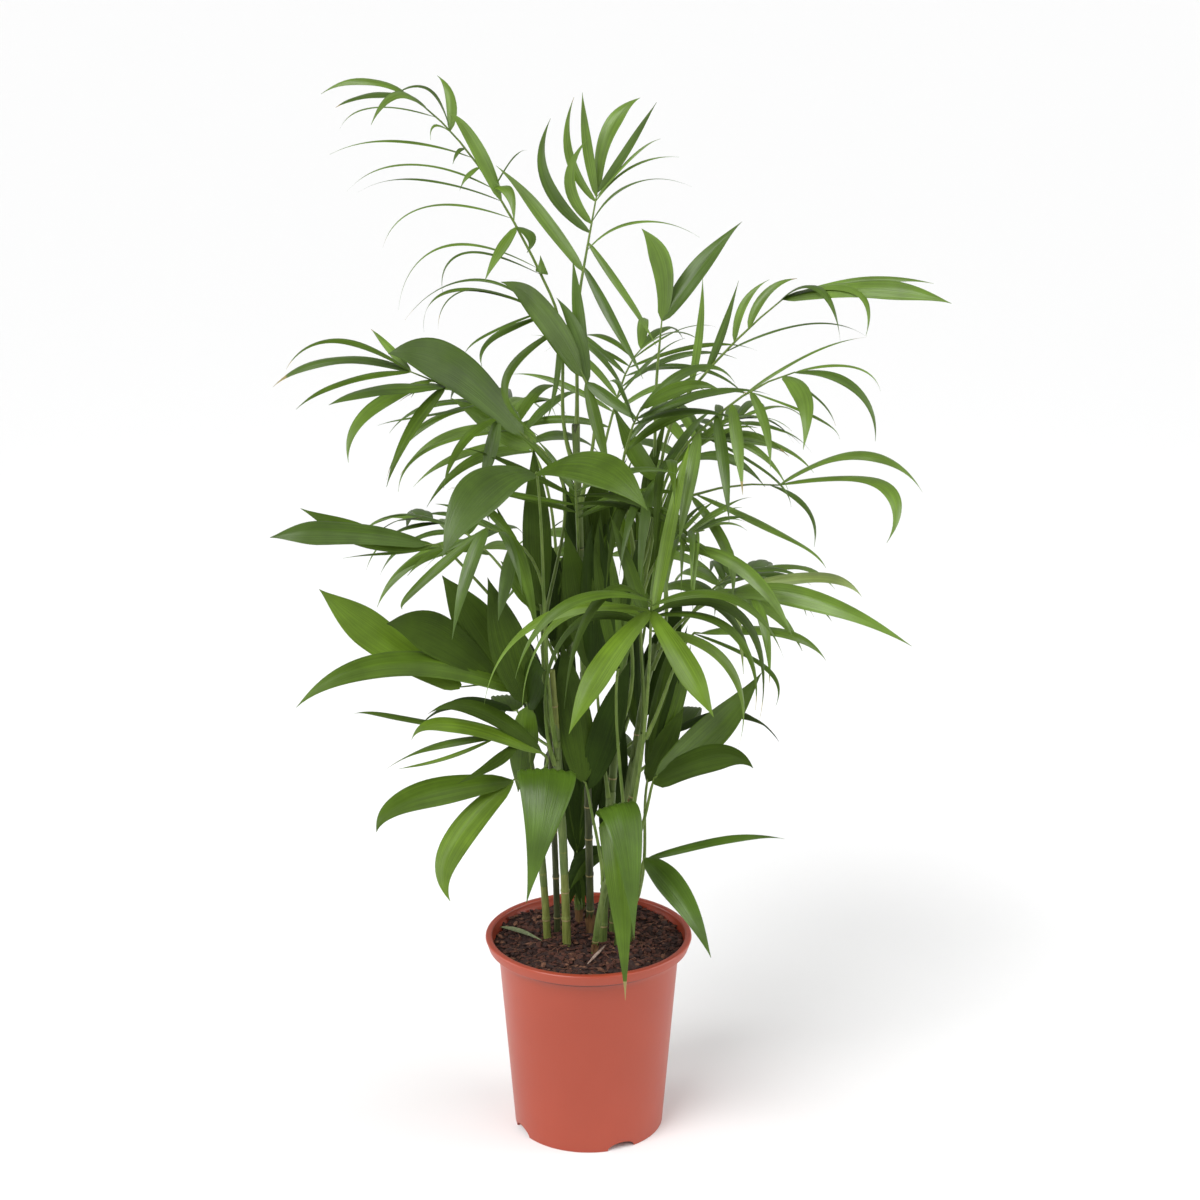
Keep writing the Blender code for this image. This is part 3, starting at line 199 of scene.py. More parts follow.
class Leaf:
    """A leaflet: its centre line from root through control to tip, and the way its face looks."""

    def __init__(self, root, control, tip, width, face, base, fullest):
        self.curve = [root, control, tip]
        self.width = width
        self.face = unit(face)
        self.base = base
        self.fullest = fullest
        chord = unit(tip - root)
        self.side = np.cross(chord, self.face)
        if np.linalg.norm(self.side) < LEAST_TURN:
            self.side = np.cross(chord, FRONT + (0.3, 0.0, 0.0))

    def moved(self, shift):
        root, control, tip = self.curve
        return Leaf(root, control + shift * 0.6, tip + shift, self.width, self.face, self.base, self.fullest)

    def length(self):
        root, control, tip = self.curve
        return np.linalg.norm(control - root) + np.linalg.norm(tip - control)

    def spot(self, u):
        return bend(self.curve, u)

    def axes(self, u):
        """Run along the leaflet, direction across it and direction out of its upper face at u."""
        run = slope(self.curve, u)
        across = unit(self.side - run * np.dot(self.side, run))
        return run, across, np.cross(across, run)

    def width_at(self, u):
        """Width at u: a swell from the root to the fullest part, then a taper to the point."""
        rise = self.base + (1 - self.base) * math.sin(math.pi / 2 * min(u / self.fullest, 1.0))
        fall = max(math.cos(math.pi / 2 * max((u - self.fullest) / (1 - self.fullest), 0.0)), 0.0)
        return self.width * rise * fall


def side(count, reach, width, spread=(70, 40), lift=10, droop=0.4, face=None, hook=0.6):
    """An even row of leaflets down one side of a rib.

    spread is the angle from the rib in degrees, at the knee and at the tip; lift is the angle out of
    the frond's plane; droop is how far a leaflet hangs; face is the way its upper face looks, or None
    for the way the frond itself looks; hook is how far out a leaflet starts to bend down.
    """
    return {"count": count, "reach": reach, "width": width, "spread": spread, "lift": lift,
            "droop": droop, "face": face, "hook": hook}


def blade(share, tip, width, arch=0.0, face=SKY, aside=0.0, base=0.45, fullest=0.35):
    """A leaflet placed singly: where along the rib it starts, its tip and its width.

    arch and aside are how far its middle is drawn up and to the east.
    """
    return {"share": share, "tip": np.array(tip), "width": width, "pull": UP * arch + EAST * aside,
            "face": face, "base": base, "fullest": fullest}


class Frond:
    """A petiole from the cane to the knee, then a rib that carries leaflets from the knee to the tip."""

    def __init__(self, name, cane, start, knee, tip, arch=0.01, left=None, right=None, blades=(),
                 toward=None):
        self.name = name
        knee = np.array(knee)
        tip = np.array(tip)
        self.rib_curve = [knee, (knee + tip) / 2 + UP * arch, tip]
        self.left = left
        self.right = right
        self.blades = blades
        self.heading = unit((tip - knee) * (1, 1, 0)) if toward is None else heading(toward)
        stem = Cane(*CANES[cane])
        share = stem.share_at(start)
        self.stem = stem
        self.share = share
        self.core = stem.point(share)
        self.out = unit((knee - self.core) * (1, 1, 0))
        self.launch = unit(slope(stem.curve, share) + self.out * PETIOLE_LAUNCH)
        self.nearest = stem.radius(share) * CANE_FLAT + RIB_RADIUS_AT_CANE * RIB_FLAT + SEAT_GAP
        self.lay(0.0, 0.0)

    def lay(self, apart, shift):
        """Lay the petiole: its foot this much further from the cane, and its middle moved aside."""
        foot = self.core + self.out * (self.nearest + apart)
        knee = self.rib_curve[0]
        reach = np.linalg.norm(knee - foot) * PETIOLE_STIFFNESS
        rise = slope(self.rib_curve, 0.0)
        low = foot + self.launch * reach + shift * 0.5
        high = knee - rise * reach + shift
        self.petiole_curve = [foot, low, high, knee]

    def petiole(self, t):
        return bend(self.petiole_curve, t)

    def rib_steps(self):
        return max(2, round(np.linalg.norm(self.rib_curve[2] - self.rib_curve[0]) / 0.030))

    def rib(self, t):
        """Point at t on the rib, which is drawn in straight steps."""
        steps = self.rib_steps()
        low = min(int(t * steps), steps - 1)
        start = bend(self.rib_curve, low / steps)
        end = bend(self.rib_curve, (low + 1) / steps)
        return start + (end - start) * (t * steps - low)

    def axes(self, t):
        """Forward, sideways and upper-face directions of the rib at t."""
        forward = slope(self.rib_curve, t)
        across = np.cross(self.heading, UP)
        across = unit(across - forward * np.dot(across, forward))
        return forward, across, np.cross(across, forward)

    def row_leaf(self, row, sign, number, shift):
        t = (number + shift) / row["count"] * 0.96
        wander = math.sin(GOLDEN_ANGLE * number + sign + len(self.name))
        forward, across, over = self.axes(t)
        near, far = row["spread"]
        spread = math.radians(near + (far - near) * t + SPREAD_WANDER * wander)
        lift = math.radians(row["lift"] - LIFT_WANDER * wander)
        out = across * sign * math.cos(lift) + over * math.sin(lift)
        way = forward * math.cos(spread) + out * math.sin(spread)
        reach = row["reach"] * (0.8 + 0.2 * math.sin(math.pi * (t + 0.2)) + REACH_WANDER * wander)
        droop = row["droop"] * (1 + DROOP_WANDER * math.sin(GOLDEN_ANGLE * (number + 0.7) * 1.6))
        root = self.rib(t)
        control = root + way * reach * row["hook"]
        tip = root + unit(way - UP * droop) * reach
        face = -sign * np.cross(forward, way) if row["face"] is None else row["face"]
        return Leaf(root, control, tip, row["width"], face, 0.35, 0.35)

    def single_leaf(self, place, one):
        """Blades that start at the same share of the rib are set one behind the other."""
        length = np.linalg.norm(self.rib_curve[2] - self.rib_curve[0])
        setback = BLADE_SETBACK + BLADE_STAGGER * place / len(self.blades)
        root = self.rib(abs(one["share"] - setback / length))
        middle = root + (one["tip"] - root) * SINGLE_HOOK + one["pull"]
        return Leaf(root, middle, one["tip"], one["width"], one["face"], one["base"], one["fullest"])

    def leaves(self):
        """The single blades first, then the even rows down both sides."""
        found = [self.single_leaf(place, one) for place, one in enumerate(self.blades)]
        for row, sign, shift in ((self.left, -1, 0.1), (self.right, 1, 0.5)):
            if row is not None:
                found += [self.row_leaf(row, sign, number, shift) for number in range(row["count"])]
        return found


# Canes by letter: foot (x, y), top (x, y, z), radius at the foot, radius at the top
CANES = {
    "a": ((0.002, 0.010), (-0.012, 0.000, 0.735), 0.0040, 0.0030),
    "b": ((0.014, -0.010), (0.048, 0.000, 0.620), 0.0046, 0.0032),
    "c": ((0.024, 0.014), (0.065, 0.035, 0.500), 0.0036, 0.0028),
    "d": ((0.030, -0.020), (0.052, -0.035, 0.430), 0.0042, 0.0028),
    "e": ((-0.042, 0.000), (-0.060, -0.015, 0.420), 0.0040, 0.0026),
    "f": ((-0.032, 0.018), (-0.045, 0.030, 0.520), 0.0034, 0.0026),
    "g": ((-0.022, -0.014), (-0.035, -0.035, 0.500), 0.0044, 0.0028),
    "h": ((0.006, -0.034), (0.020, -0.050, 0.290), 0.0032, 0.0025),
    "i": ((-0.010, 0.038), (-0.020, 0.075, 0.500), 0.0036, 0.0027),
    "j": ((0.024, 0.042), (0.035, 0.080, 0.450), 0.0034, 0.0026),
    "k": ((0.042, 0.000), (0.048, -0.010, 0.255), 0.0028, 0.0023),
}


def fronds():
    return [
        Frond("top_left", "a", 0.70, (-0.035, 0.0, 0.860), (-0.170, 0.03, 1.043), arch=0.055,
              blades=[blade(1.0, (-0.25, 0.04, 1.042), 0.010, 0.022, LEAN, 0.011),
                      blade(1.0, (-0.23, -0.02, 1.034), 0.010, 0.008, LEAN),
                      blade(0.85, (-0.196, -0.04, 1.02), 0.012, 0.039, FRONT),
                      blade(0.7, (-0.142, 0.06, 1.058), 0.010, 0.004, FRONT, 0.014),
                      blade(0.7, (-0.18, 0.0, 1.041), 0.006, 0.041, FRONT, 0.019),
                      blade(0.65, (-0.145, 0.0, 1.003), 0.005, 0.025, FRONT, -0.01),
                      blade(0.35, (-0.128, 0.0, 1.028), 0.014, 0.022, FRONT),
                      blade(0.4, (-0.056, 0.0, 0.994), 0.004, 0.013, FRONT),
                      blade(0.4, (-0.068, -0.02, 0.929), 0.011, 0.026, FRONT, 0.008),
                      blade(0.5, (-0.119, 0.0, 0.957), 0.006, 0.008, FRONT),
                      blade(0.6, (-0.125, 0.0, 0.981), 0.005, 0.009, FRONT),
                      blade(0.55, (-0.239, 0.0, 0.99), 0.004, 0.024, SKY, 0.011),
                      blade(0.4, (-0.224, 0.0, 0.956), 0.004, 0.045),
                      blade(0.35, (-0.212, -0.02, 0.957), 0.004, 0.028),
                      blade(0.28, (-0.189, -0.03, 0.908), 0.004, 0.049, SKY, -0.021),
                      blade(0.1, (-0.176, -0.03, 0.85), 0.004, 0.080, SKY, -0.028),
                      blade(0.08, (-0.134, -0.04, 0.868), 0.004, 0.056, SKY, -0.036),
                      blade(0.8, (-0.226, -0.03, 1.015), 0.004, 0.028, SKY, -0.015),
                      blade(0.25, (-0.095, -0.04, 0.878), 0.010, 0.007, FRONT),
                      blade(0.25, (-0.056, -0.03, 0.903), 0.010, 0.005, FRONT, 0.017),
                      blade(0.1, (-0.044, -0.01, 0.898), 0.013, -0.016, FRONT, 0.005)]),
        Frond("top_middle", "a", 0.73, (-0.005, 0.03, 0.875), (0.010, 0.06, 0.955), arch=0.0, toward=90,
              blades=[blade(0.05, (-0.085, 0.0, 0.98), 0.014, 0.006, FRONT, 0.003),
                      blade(0.1, (0.052, -0.03, 0.785), 0.010, 0.0, FRONT),
                      blade(1.0, (0.05, 0.08, 1.036), 0.015, 0.014, FRONT, -0.023, fullest=0.6),
                      blade(0.9, (-0.005, 0.05, 1.043), 0.010, 0.003, FRONT, -0.005),
                      blade(0.95, (0.065, 0.05, 1.034), 0.009, -0.006, FRONT),
                      blade(0.85, (-0.013, 0.06, 1.038), 0.009, -0.011, FRONT, -0.030),
                      blade(0.6, (0.002, 0.04, 1.003), 0.011, -0.005, FRONT, -0.04),
                      blade(0.5, (-0.035, 0.05, 1.019), 0.012, -0.010, FRONT, -0.046),
                      blade(0.9, (0.069, 0.05, 1.0), 0.004, 0.012),
                      blade(0.85, (0.087, 0.06, 0.982), 0.004, 0.016, SKY, -0.021),
                      blade(0.62, (0.099, 0.05, 0.955), 0.004, 0.034, SKY, -0.027),
                      blade(0.3, (0.107, 0.05, 0.907), 0.004, 0.038, SKY, -0.025),
                      blade(0.4, (0.065, 0.0, 0.811), 0.008, 0.005, FRONT)]),
        Frond("upper_left", "a", 0.66, (0.0, -0.01, 0.775), (-0.055, -0.05, 0.862), arch=0.02,
              blades=[blade(0.1, (-0.078, -0.09, 0.885), 0.030, 0.03, FRONT),
                      blade(0.8, (-0.112, -0.10, 0.82), 0.004, 0.003, LEAN, -0.016),
                      blade(0.95, (-0.171, -0.02, 0.839), 0.004, 0.058, SKY, 0.015),
                      blade(0.9, (-0.152, -0.04, 0.831), 0.006, 0.054, SKY, -0.035),
                      blade(0.8, (-0.138, -0.05, 0.835), 0.008, 0.055, SKY, -0.027),
                      blade(0.75, (-0.096, -0.09, 0.808), 0.008, 0.007, LEAN, -0.032),
                      blade(0.55, (-0.040, -0.06, 0.733), 0.008, 0.008, FRONT, -0.084),
                      blade(0.5, (-0.038, -0.04, 0.747), 0.006, 0.001, FRONT, 0.007),
                      blade(0.0, (0.050, -0.04, 0.745), 0.013, 0.0, FRONT),
                      blade(0.0, (0.02, -0.05, 0.70), 0.012, 0.0, FRONT),
                      blade(0.02, (-0.014, 0.0, 0.894), 0.012, -0.010, FRONT, fullest=0.5),
                      blade(0.05, (-0.029, -0.02, 0.860), 0.014, 0.001, FRONT, 0.014, fullest=0.5)]),
        Frond("top_right_fork", "b", 0.60, (0.067, 0.02, 0.79), (0.071, 0.03, 0.833), arch=0.0, toward=90,
              blades=[blade(1.0, (0.051, 0.03, 0.918), 0.020, 0.004, FRONT, 0.022, fullest=0.6),
                      blade(1.0, (0.148, 0.06, 0.921), 0.020, 0.0, FRONT, -0.01)]),
        Frond("right_high", "b", 0.59, (0.097, 0.0, 0.767), (0.184, -0.02, 0.86),
              blades=[blade(1.0, (0.317, -0.06, 0.879), 0.009, 0.015, FRONT, -0.009, fullest=0.5),
                      blade(1.0, (0.328, -0.10, 0.867), 0.019, 0.02, FRONT, -0.01, fullest=0.6),
                      blade(0.95, (0.232, -0.07, 0.827), 0.011, 0.062, LEAN, 0.009),
                      blade(1.0, (0.253, -0.09, 0.836), 0.011, 0.052, LEAN, 0.042),
                      blade(0.02, (0.108, 0.0, 0.876), 0.008, -0.002, FRONT, 0.006),
                      blade(0.2, (0.142, 0.0, 0.873), 0.008, -0.011, FRONT),
                      blade(0.5, (0.171, 0.0, 0.874), 0.008, 0.009, FRONT, -0.017),
                      blade(0.65, (0.197, 0.0, 0.875), 0.009, 0.014, FRONT, -0.017),
                      blade(0.4, (0.262, -0.02, 0.823), 0.004, 0.034)]),
        Frond("right_middle", "b", 0.55, (0.097, -0.03, 0.726), (0.192, -0.06, 0.797), arch=0.02,
              blades=[blade(0.9, (0.195, -0.13, 0.739), 0.018, 0.027, FRONT, 0.018),
                      blade(1.0, (0.266, -0.08, 0.736), 0.010, 0.042, LEAN, 0.025),
                      blade(1.0, (0.273, -0.05, 0.777), 0.004, 0.029, SKY, 0.015),
                      blade(0.1, (0.085, -0.09, 0.640), 0.014, 0.01, FRONT),
                      blade(0.27, (0.131, -0.10, 0.663), 0.012, 0.020, FRONT),
                      blade(0.42, (0.143, -0.10, 0.69), 0.012, 0.013, FRONT),
                      blade(0.6, (0.168, -0.10, 0.715), 0.010, 0.013, FRONT, 0.007),
                      blade(0.9, (0.231, -0.06, 0.746), 0.004, 0.011, SKY, 0.008),
                      blade(0.6, (0.233, -0.08, 0.738), 0.004, 0.0, SKY, 0.028),
                      blade(0.05, (0.19, -0.05, 0.715), 0.009, 0.008, SKY, 0.007),
                      blade(0.1, (0.192, -0.05, 0.666), 0.004, 0.004, SKY, 0.029),
                      blade(0.55, (0.258, -0.05, 0.828), 0.005, 0.008, LEAN, -0.016)]),
        Frond("right_low_long", "c", 0.50, (0.099, 0.02, 0.66), (0.185, -0.01, 0.678),
              blades=[blade(1.0, (0.317, -0.04, 0.678), 0.012, 0.062, LEAN, 0.004, fullest=0.6),
                      blade(1.0, (0.277, -0.10, 0.644), 0.014, 0.058, LEAN, 0.078, fullest=0.6),
                      blade(0.9, (0.212, -0.08, 0.635), 0.008, 0.02, SKY, 0.022),
                      blade(0.1, (0.224, -0.08, 0.614), 0.009, -0.007, LEAN, 0.036),
                      blade(0.05, (0.137, -0.05, 0.573), 0.011, 0.004, FRONT, 0.027)]),
        Frond("right_broad", "c", 0.48, (0.113, -0.03, 0.565), (0.17, -0.04, 0.585),
              right=side(2, 0.10, 0.010, spread=(70, 50), lift=0, droop=0.9, face=LEAN),
              blades=[blade(0.35, (0.264, -0.03, 0.572), 0.017, 0.036, LEAN, 0.019, fullest=0.6),
                      blade(0.35, (0.303, -0.11, 0.547), 0.022, 0.047, FRONT, -0.039, fullest=0.5)]),
        Frond("right_flat", "d", 0.43, (0.095, -0.04, 0.53), (0.11, -0.045, 0.54),
              blades=[blade(1.0, (0.224, -0.10, 0.530), 0.014, 0.028, LEAN, 0.018),
                      blade(0.6, (0.179, -0.14, 0.50), 0.006, 0.007, FRONT, 0.051)]),
        Frond("low_right", "d", 0.30, (0.062, -0.03, 0.375), (0.068, -0.035, 0.39),
              blades=[blade(1.0, (0.17, -0.02, 0.493), 0.035, -0.012, FRONT, 0.009),
                      blade(0.5, (0.159, -0.08, 0.415), 0.029, 0.035, FRONT, 0.019, base=0.8)]),
        Frond("front_fan", "d", 0.34, (0.058, -0.14, 0.570), (0.058, -0.19, 0.617), toward=-90,
              left=side(3, 0.140, 0.012, spread=(95, 50), lift=22, droop=1.1, face=LEAN, hook=0.68),
              right=side(5, 0.165, 0.012, spread=(95, 50), lift=22, droop=1.1, face=LEAN, hook=0.68),
              blades=[blade(0.5, (-0.016, -0.24, 0.506), 0.023, 0.03, FRONT, base=0.35, fullest=0.6),
                      blade(0.5, (0.112, -0.24, 0.522), 0.023, 0.023, FRONT, -0.01, base=0.35, fullest=0.65),
                      blade(0.5, (0.156, -0.16, 0.48), 0.012, 0.111, LEAN, 0.055),
                      blade(0.4, (0.153, -0.18, 0.508), 0.009, 0.069, LEAN, 0.037),
                      blade(0.0, (0.021, -0.08, 0.666), 0.013, 0.0, FRONT),
                      blade(0.0, (0.096, -0.06, 0.733), 0.012, 0.02, FRONT)]),
        Frond("middle_high", "b", 0.60, (0.035, -0.035, 0.715), (0.05, -0.065, 0.765), toward=-60,
              left=side(3, 0.13, 0.011, spread=(65, 40), lift=10, droop=0.4, face=LEAN),
              blades=[blade(1.0, (0.12, -0.11, 0.79), 0.016, 0.02, FRONT),
                      blade(0.6, (0.02, -0.12, 0.80), 0.010, 0.02, FRONT),
                      blade(0.9, (0.139, -0.02, 0.779), 0.011, 0.049, LEAN)]),
        Frond("middle_right", "c", 0.38, (0.075, -0.03, 0.62), (0.11, -0.055, 0.645),
              left=side(4, 0.08, 0.006, spread=(60, 40), lift=20, droop=0.3, face=LEAN),
              right=side(4, 0.09, 0.007, spread=(70, 50), lift=0, droop=0.9, face=LEAN),
              blades=[blade(0.05, (0.190, -0.12, 0.560), 0.014, 0.056, FRONT, 0.007, fullest=0.6)]),
        Frond("left_paddle", "f", 0.475, (-0.131, -0.02, 0.612), (-0.156, -0.03, 0.624),
              blades=[blade(1.0, (-0.300, -0.06, 0.639), 0.026, 0.014, FRONT, 0.016, base=0.3, fullest=0.7),
                      blade(0.8, (-0.274, -0.03, 0.660), 0.022, -0.028, FRONT, 0.022, base=0.3, fullest=0.6),
                      blade(0.5, (-0.236, -0.02, 0.608), 0.004, -0.002, SKY, 0.006)]),
        Frond("left_middle", "g", 0.40, (-0.060, -0.05, 0.625), (-0.095, -0.085, 0.655),
              right=side(3, 0.090, 0.010, spread=(65, 40), lift=25, droop=0.3, face=LEAN),
              blades=[blade(1.0, (-0.173, -0.10, 0.580), 0.010, -0.025, FRONT, -0.04),
                      blade(1.0, (-0.125, -0.13, 0.560), 0.014, 0.03, FRONT),
                      blade(0.3, (-0.085, -0.07, 0.560), 0.014, 0.0, FRONT),
                      blade(0.5, (-0.046, -0.10, 0.545), 0.013, 0.045, FRONT),
                      blade(0.7, (-0.060, -0.12, 0.600), 0.009, 0.03, LEAN),
                      blade(0.9, (-0.155, -0.07, 0.610), 0.006, 0.01, LEAN)]),
        Frond("left_high", "f", 0.50, (-0.045, -0.015, 0.715), (-0.165, -0.06, 0.798), arch=0.015,
              blades=[blade(0.15, (-0.184, -0.06, 0.814), 0.041, 0.042, FRONT, 0.006, fullest=0.6),
                      blade(0.05, (-0.131, 0.0, 0.761), 0.029, -0.016, FRONT, 0.021),
                      blade(1.0, (-0.276, -0.08, 0.803), 0.008, 0.052, LEAN, -0.007),
                      blade(1.0, (-0.296, -0.03, 0.777), 0.013, 0.035, LEAN, 0.008, fullest=0.6),
                      blade(1.0, (-0.205, 0.00, 0.827), 0.008, 0.0, FRONT),
                      blade(1.0, (-0.263, -0.12, 0.774), 0.009, 0.018, LEAN),
                      blade(0.75, (-0.231, -0.14, 0.782), 0.018, 0.009, LEAN, 0.006, fullest=0.6),
                      blade(0.85, (-0.217, -0.12, 0.725), 0.013, 0.017, FRONT, -0.038),
                      blade(0.75, (-0.183, -0.12, 0.702), 0.012, 0.018, FRONT, -0.005),
                      blade(0.5, (-0.203, 0.02, 0.730), 0.004, -0.002, SKY, 0.005),
                      blade(0.2, (-0.174, -0.10, 0.693), 0.006, 0.029, SKY, -0.038),
                      blade(0.35, (-0.131, -0.12, 0.701), 0.010, 0.022, FRONT, -0.011),
                      blade(0.35, (-0.099, -0.07, 0.688), 0.013, 0.0, FRONT)]),
        Frond("left_broad", "e", 0.40, (-0.066, -0.03, 0.478), (-0.125, -0.04, 0.484),
              blades=[blade(1.0, (-0.260, -0.02, 0.577), 0.037, -0.014, FRONT, fullest=0.6),
                      blade(0.3, (-0.192, -0.06, 0.554), 0.042, 0.03, FRONT, base=0.3, fullest=0.55),
                      blade(0.05, (-0.141, -0.02, 0.591), 0.044, 0.0, FRONT, base=0.4, fullest=0.45),
                      blade(0.05, (-0.276, -0.1, 0.483), 0.028, 0.07, FRONT, -0.01, base=0.6, fullest=0.5)]),
        Frond("left_low", "e", 0.37, (-0.045, -0.045, 0.418), (-0.095, -0.055, 0.440),
              blades=[blade(1.0, (-0.230, -0.03, 0.453), 0.008, 0.010, LEAN, -0.03),
                      blade(0.05, (-0.168, -0.09, 0.448), 0.022, 0.040, LEAN, -0.031),
                      blade(0.05, (-0.155, -0.05, 0.460), 0.018, 0.044, FRONT),
                      blade(0.8, (-0.201, -0.03, 0.394), 0.010, 0.019, LEAN, 0.006),
                      blade(0.9, (-0.184, -0.06, 0.407), 0.005, -0.013, LEAN, -0.006),
                      blade(0.5, (-0.125, -0.09, 0.403), 0.013, -0.004, LEAN, 0.01)]),
        Frond("left_hanging", "e", 0.32, (-0.065, -0.045, 0.385), (-0.076, -0.05, 0.39),
              blades=[blade(1.0, (-0.201, -0.12, 0.365), 0.029, 0.019, FRONT, -0.051),
                      blade(1.0, (-0.132, -0.12, 0.294), 0.028, -0.009, FRONT, -0.053)]),
        Frond("centre_bifid", "g", 0.42, (-0.046, -0.085, 0.700), (-0.048, -0.10, 0.709), toward=-90,
              blades=[blade(1.0, (-0.128, -0.20, 0.657), 0.042, 0.055, FRONT, base=0.3, fullest=0.55),
                      blade(1.0, (0.053, -0.22, 0.705), 0.036, 0.045, FRONT, base=0.25, fullest=0.55)]),
        Frond("front_hang_left", "g", 0.34, (-0.050, -0.055, 0.385), (-0.050, -0.066, 0.395), toward=-90,
              blades=[blade(1.0, (-0.058, -0.15, 0.305), 0.056, 0.12, FRONT, 0.03, base=0.7, fullest=0.35)]),
        Frond("front_hang_right", "h", 0.285, (0.018, -0.075, 0.355), (0.018, -0.085, 0.364), toward=-90,
              blades=[blade(1.0, (0.036, -0.14, 0.200), 0.026, 0.075, FRONT, 0.004, base=0.7, fullest=0.4),
                      blade(1.0, (0.044, -0.155, 0.27), 0.037, 0.125, FRONT, 0.004, base=0.7, fullest=0.4)]),
        Frond("low_right_arc", "k", 0.25, (0.054, -0.035, 0.298), (0.058, -0.04, 0.303),
              blades=[blade(1.0, (0.196, -0.02, 0.318), 0.011, 0.014, LEAN),
                      blade(1.0, (0.119, -0.12, 0.235), 0.027, 0.03, FRONT)]),
        Frond("inner_right", "j", 0.43, (0.058, 0.05, 0.53), (0.062, 0.05, 0.55), toward=0,
              blades=[blade(1.0, (0.085, 0.055, 0.672), 0.038, 0.0, FRONT),
                      blade(0.4, (0.035, 0.06, 0.66), 0.034, 0.0, FRONT)]),
        Frond("inner_centre", "b", 0.36, (0.008, -0.03, 0.49), (0.006, -0.038, 0.505), toward=-90,
              blades=[blade(1.0, (0.012, -0.03, 0.66), 0.036, 0.0, FRONT),
                      blade(0.4, (-0.02, -0.02, 0.64), 0.034, 0.0, FRONT)]),
        Frond("inner_left", "g", 0.44, (-0.045, -0.02, 0.55), (-0.047, -0.03, 0.565), toward=-90,
              blades=[blade(1.0, (-0.052, 0.0, 0.715), 0.028, 0.0, FRONT),
                      blade(0.4, (-0.085, 0.0, 0.60), 0.020, 0.0, FRONT),
                      blade(0.5, (-0.091, 0.00, 0.659), 0.013, -0.017, FRONT, 0.009)]),
        Frond("inner_low", "h", 0.28, (0.0, -0.03, 0.37), (-0.005, -0.035, 0.385), toward=-90,
              blades=[blade(1.0, (-0.03, -0.01, 0.52), 0.036, 0.0, FRONT),
                      blade(0.4, (0.02, -0.01, 0.51), 0.032, 0.0, FRONT)]),
        Frond("inner_low_left", "e", 0.38, (-0.058, -0.035, 0.455), (-0.060, -0.045, 0.47), toward=-90,
              blades=[blade(1.0, (-0.095, -0.06, 0.60), 0.038, 0.0, FRONT),
                      blade(0.4, (-0.04, -0.10, 0.52), 0.036, 0.03, FRONT),
                      blade(0.5, (-0.070, -0.01, 0.364), 0.028, 0.0, FRONT)]),
        Frond("inner_low_right", "k", 0.25, (0.058, 0.01, 0.36), (0.062, 0.01, 0.38), toward=0,
              blades=[blade(1.0, (0.085, 0.03, 0.53), 0.038, 0.0, FRONT),
                      blade(0.4, (0.095, 0.0, 0.45), 0.024, 0.0, FRONT)]),
        Frond("inner_back_left", "i", 0.40, (-0.030, 0.06, 0.48), (-0.033, 0.06, 0.50), toward=180,
              blades=[blade(1.0, (-0.045, 0.05, 0.62), 0.038, 0.0, FRONT),
                      blade(0.4, (-0.005, 0.05, 0.63), 0.038, 0.0, FRONT)]),
        Frond("inner_back_right", "j", 0.38, (0.05, 0.06, 0.40), (0.053, 0.06, 0.42), toward=0,
              blades=[blade(1.0, (0.095, 0.06, 0.55), 0.036, 0.0, FRONT),
                      blade(0.4, (0.03, 0.055, 0.56), 0.036, 0.0, FRONT)]),
        Frond("inner_back_low", "i", 0.32, (-0.035, 0.05, 0.38), (-0.040, 0.05, 0.40), toward=180,
              blades=[blade(1.0, (-0.075, 0.04, 0.52), 0.038, 0.0, FRONT),
                      blade(0.4, (-0.02, 0.05, 0.50), 0.034, 0.0, FRONT)]),
        Frond("cross_centre", "a", 0.48, (-0.010, -0.035, 0.650), (-0.012, -0.075, 0.695), toward=-90,
              left=side(3, 0.130, 0.010, spread=(85, 40), lift=10, droop=0.5, face=LEAN),
              right=side(3, 0.120, 0.009, spread=(85, 40), lift=25, droop=0.1, face=LEAN)),
        Frond("cross_right", "b", 0.44, (0.050, -0.01, 0.660), (0.085, -0.03, 0.705), arch=0.01,
              left=side(3, 0.120, 0.009, spread=(75, 40), lift=25, droop=0.2, face=LEAN),
              right=side(3, 0.125, 0.011, spread=(80, 45), lift=5, droop=1.1, face=FRONT),
              blades=[blade(0.5, (0.023, -0.01, 0.759), 0.019, -0.020, FRONT)]),
        Frond("inner_foot_back", "i", 0.225, (-0.012, 0.034, 0.270), (-0.012, 0.033, 0.285), toward=-90,
              blades=[blade(1.0, (-0.032, 0.033, 0.450), 0.036, 0.0, FRONT, base=0.4, fullest=0.4),
                      blade(0.6, (0.010, 0.034, 0.420), 0.032, 0.0, FRONT, base=0.4, fullest=0.4),
                      blade(0.9, (-0.004, 0.022, 0.222), 0.016, 0.0, FRONT),
                      blade(0.3, (-0.022, 0.024, 0.224), 0.014, 0.0, FRONT)]),
        Frond("inner_foot_right", "j", 0.225, (0.018, 0.033, 0.275), (0.018, 0.032, 0.290), toward=-90,
              blades=[blade(1.0, (0.034, 0.036, 0.440), 0.028, 0.0, FRONT, base=0.4, fullest=0.4),
                      blade(0.6, (-0.026, 0.012, 0.25), 0.026, 0.02, FRONT)]),
        Frond("fill_back", "a", 0.50, (0.000, 0.03, 0.560), (0.000, 0.04, 0.590), toward=90,
              blades=[blade(1.0, (0.015, 0.02, 0.695), 0.030, 0.0, FRONT),
                      blade(0.6, (-0.02, 0.02, 0.690), 0.030, 0.0, FRONT),
                      blade(0.3, (0.045, 0.03, 0.700), 0.026, 0.0, FRONT)]),
        Frond("fill_centre", "d", 0.32, (0.028, -0.055, 0.500), (0.030, -0.065, 0.510), toward=-90,
              blades=[blade(1.0, (0.010, -0.06, 0.655), 0.028, 0.0, FRONT),
